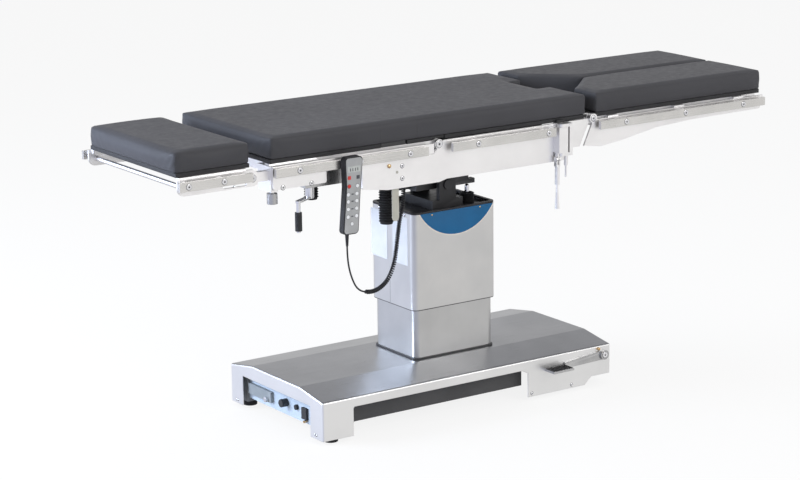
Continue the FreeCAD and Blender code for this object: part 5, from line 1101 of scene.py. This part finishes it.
def hingePins(values):
    for name, (body, x, face, level, radius) in values.items():
        if body == "leg_":
            for side, sign in (("near", -1), ("far", 1)):
                screwBatch(name + side, body + side, [((x, sign * face, level), (0, sign, 0), radius)])
        else:
            screwBatch(name, body, bothSides([(x, level)], face, radius))


hingePins(pinSet)
print("fittings made")


# Black strip over the back hinge, subdivided along its length
stripSet = {"head": -170.5 * mm, "endGap": 0.2 * mm, "sideGap": 4 * mm, "foot": 4 * mm, "topGap": 1 * mm,
            "cuts": 9}


def hingeStrip(values):
    low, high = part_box("seat_board")
    start, end, gap, side = values["head"], low.x, values["endGap"], values["sideGap"]
    bm = bmesh.new()
    block(bm, (start + gap, low.y + side, low.z + values["foot"]),
          (end - gap, high.y - side, high.z - values["topGap"]), 0)
    long = [e for e in bm.edges if abs(e.verts[0].co.x - e.verts[1].co.x) > 1e-4]
    bmesh.ops.subdivide_edges(bm, edges=long, cuts=values["cuts"], use_grid_fill=True)
    piece = finishPiece("hinge_strip", bm, "blackRubber", None, "black_rubber", weighted=False)
    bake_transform(piece)


hingeStrip(stripSet)


# Studio: pale floor and soft light
studioSet = {
    "floorReach": 40, "floorColour": (0.88, 0.88, 0.885, 1), "floorGlow": 0.86,
    "leftTint": (0.70, 0.73, 0.86, 1), "rightTint": (0.82, 0.815, 0.81, 1),
    "aboveTint": (0.60, 0.60, 0.615, 1), "belowTint": (0.30, 0.30, 0.31, 1),
    "sideRamp": (-0.75, 0.15), "aboveRamp": (0.02, 0.48), "belowRamp": (-0.30, -0.70),
    "lamps": [
        {"name": "backLeftBox", "place": (-3.9, 1.8, 1.75), "aim": (-0.8, 0, 0.85), "size": 2.4,
         "watts": 255, "colour": (0.72, 0.82, 1.0)},
        {"name": "frontBox", "place": (1.6, -5.0, 3.0), "aim": (0, 0, 0.6), "size": 3.6, "watts": 118,
         "colour": (1.0, 0.985, 0.96)},
        {"name": "topBox", "place": (0.3, 0.6, 4.4), "aim": (0, 0, 0.8), "size": 3.0, "watts": 24,
         "colour": (1.0, 1.0, 1.0)},
    ],
    "worldStrength": 0.55,
}


def ramp(tree, value, start, end):
    return put(tree, "ShaderNodeMapRange", {"Value": value, 1: start, 2: end, 3: 0.0, 4: 1.0},
               interpolation_type="SMOOTHSTEP").outputs[0]


def mixed(tree, share, first, second):
    return put(tree, "ShaderNodeMix", {0: share, 6: first, 7: second}, data_type="RGBA").outputs[2]


def makeFloor(values):
    bm = bmesh.new()
    bmesh.ops.create_grid(bm, x_segments=1, y_segments=1, size=values["floorReach"])
    floor = linked("floor", bm)
    floor.visible_glossy = False
    material, tree = newMaterial("floor")
    matt = put(tree, "ShaderNodeBsdfDiffuse", {"Color": values["floorColour"]})
    glow = put(tree, "ShaderNodeEmission", {"Color": (1, 1, 1, 1), "Strength": 1.0})
    seen = put(tree, "ShaderNodeLightPath").outputs["Is Camera Ray"]
    share = put(tree, "ShaderNodeMath", {0: seen, 1: values["floorGlow"]}, operation="MULTIPLY")
    both = put(tree, "ShaderNodeMixShader", {0: share.outputs[0], 1: matt.outputs[0], 2: glow.outputs[0]})
    put(tree, "ShaderNodeOutputMaterial", {"Surface": both.outputs[0]})
    floor.data.materials.append(material)


def makeWorld(values):
    world = bpy.data.worlds.new("studio")
    world.use_nodes = True
    bpy.context.scene.world = world
    tree = world.node_tree
    tree.nodes.clear()
    direction = put(tree, "ShaderNodeTexCoord").outputs["Generated"]
    parts = put(tree, "ShaderNodeSeparateXYZ", {0: direction}).outputs
    sides = mixed(tree, ramp(tree, parts["X"], *values["sideRamp"]), values["leftTint"], values["rightTint"])
    above = mixed(tree, ramp(tree, parts["Z"], *values["aboveRamp"]), sides, values["aboveTint"])
    around = mixed(tree, ramp(tree, parts["Z"], *values["belowRamp"]), above, values["belowTint"])
    path = put(tree, "ShaderNodeLightPath").outputs
    shine = put(tree, "ShaderNodeBackground", {"Color": around, "Strength": 1.0})
    soft = put(tree, "ShaderNodeBackground", {"Color": (1, 1, 1, 1), "Strength": values["worldStrength"]})
    white = put(tree, "ShaderNodeBackground", {"Color": (1, 1, 1, 1), "Strength": 1.0})
    inside = put(tree, "ShaderNodeMixShader",
                 {0: path["Is Glossy Ray"], 1: soft.outputs[0], 2: shine.outputs[0]})
    both = put(tree, "ShaderNodeMixShader", {0: path["Is Camera Ray"], 1: inside.outputs[0],
                                             2: white.outputs[0]})
    put(tree, "ShaderNodeOutputWorld", {"Surface": both.outputs[0]})


def makeLamps(values):
    for lamp in values["lamps"]:
        data = bpy.data.lights.new(lamp["name"], "AREA")
        data.size = lamp["size"]
        data.energy = lamp["watts"]
        data.color = lamp["colour"]
        light = bpy.data.objects.new(lamp["name"], data)
        bpy.context.scene.collection.objects.link(light)
        place = Vector(lamp["place"])
        light.location = place
        light.rotation_euler = (place - Vector(lamp["aim"])).to_track_quat("Z", "Y").to_euler()


makeFloor(studioSet)
makeWorld(studioSet)
makeLamps(studioSet)
bpy.context.scene.view_settings.view_transform = "Standard"
print("studio made")
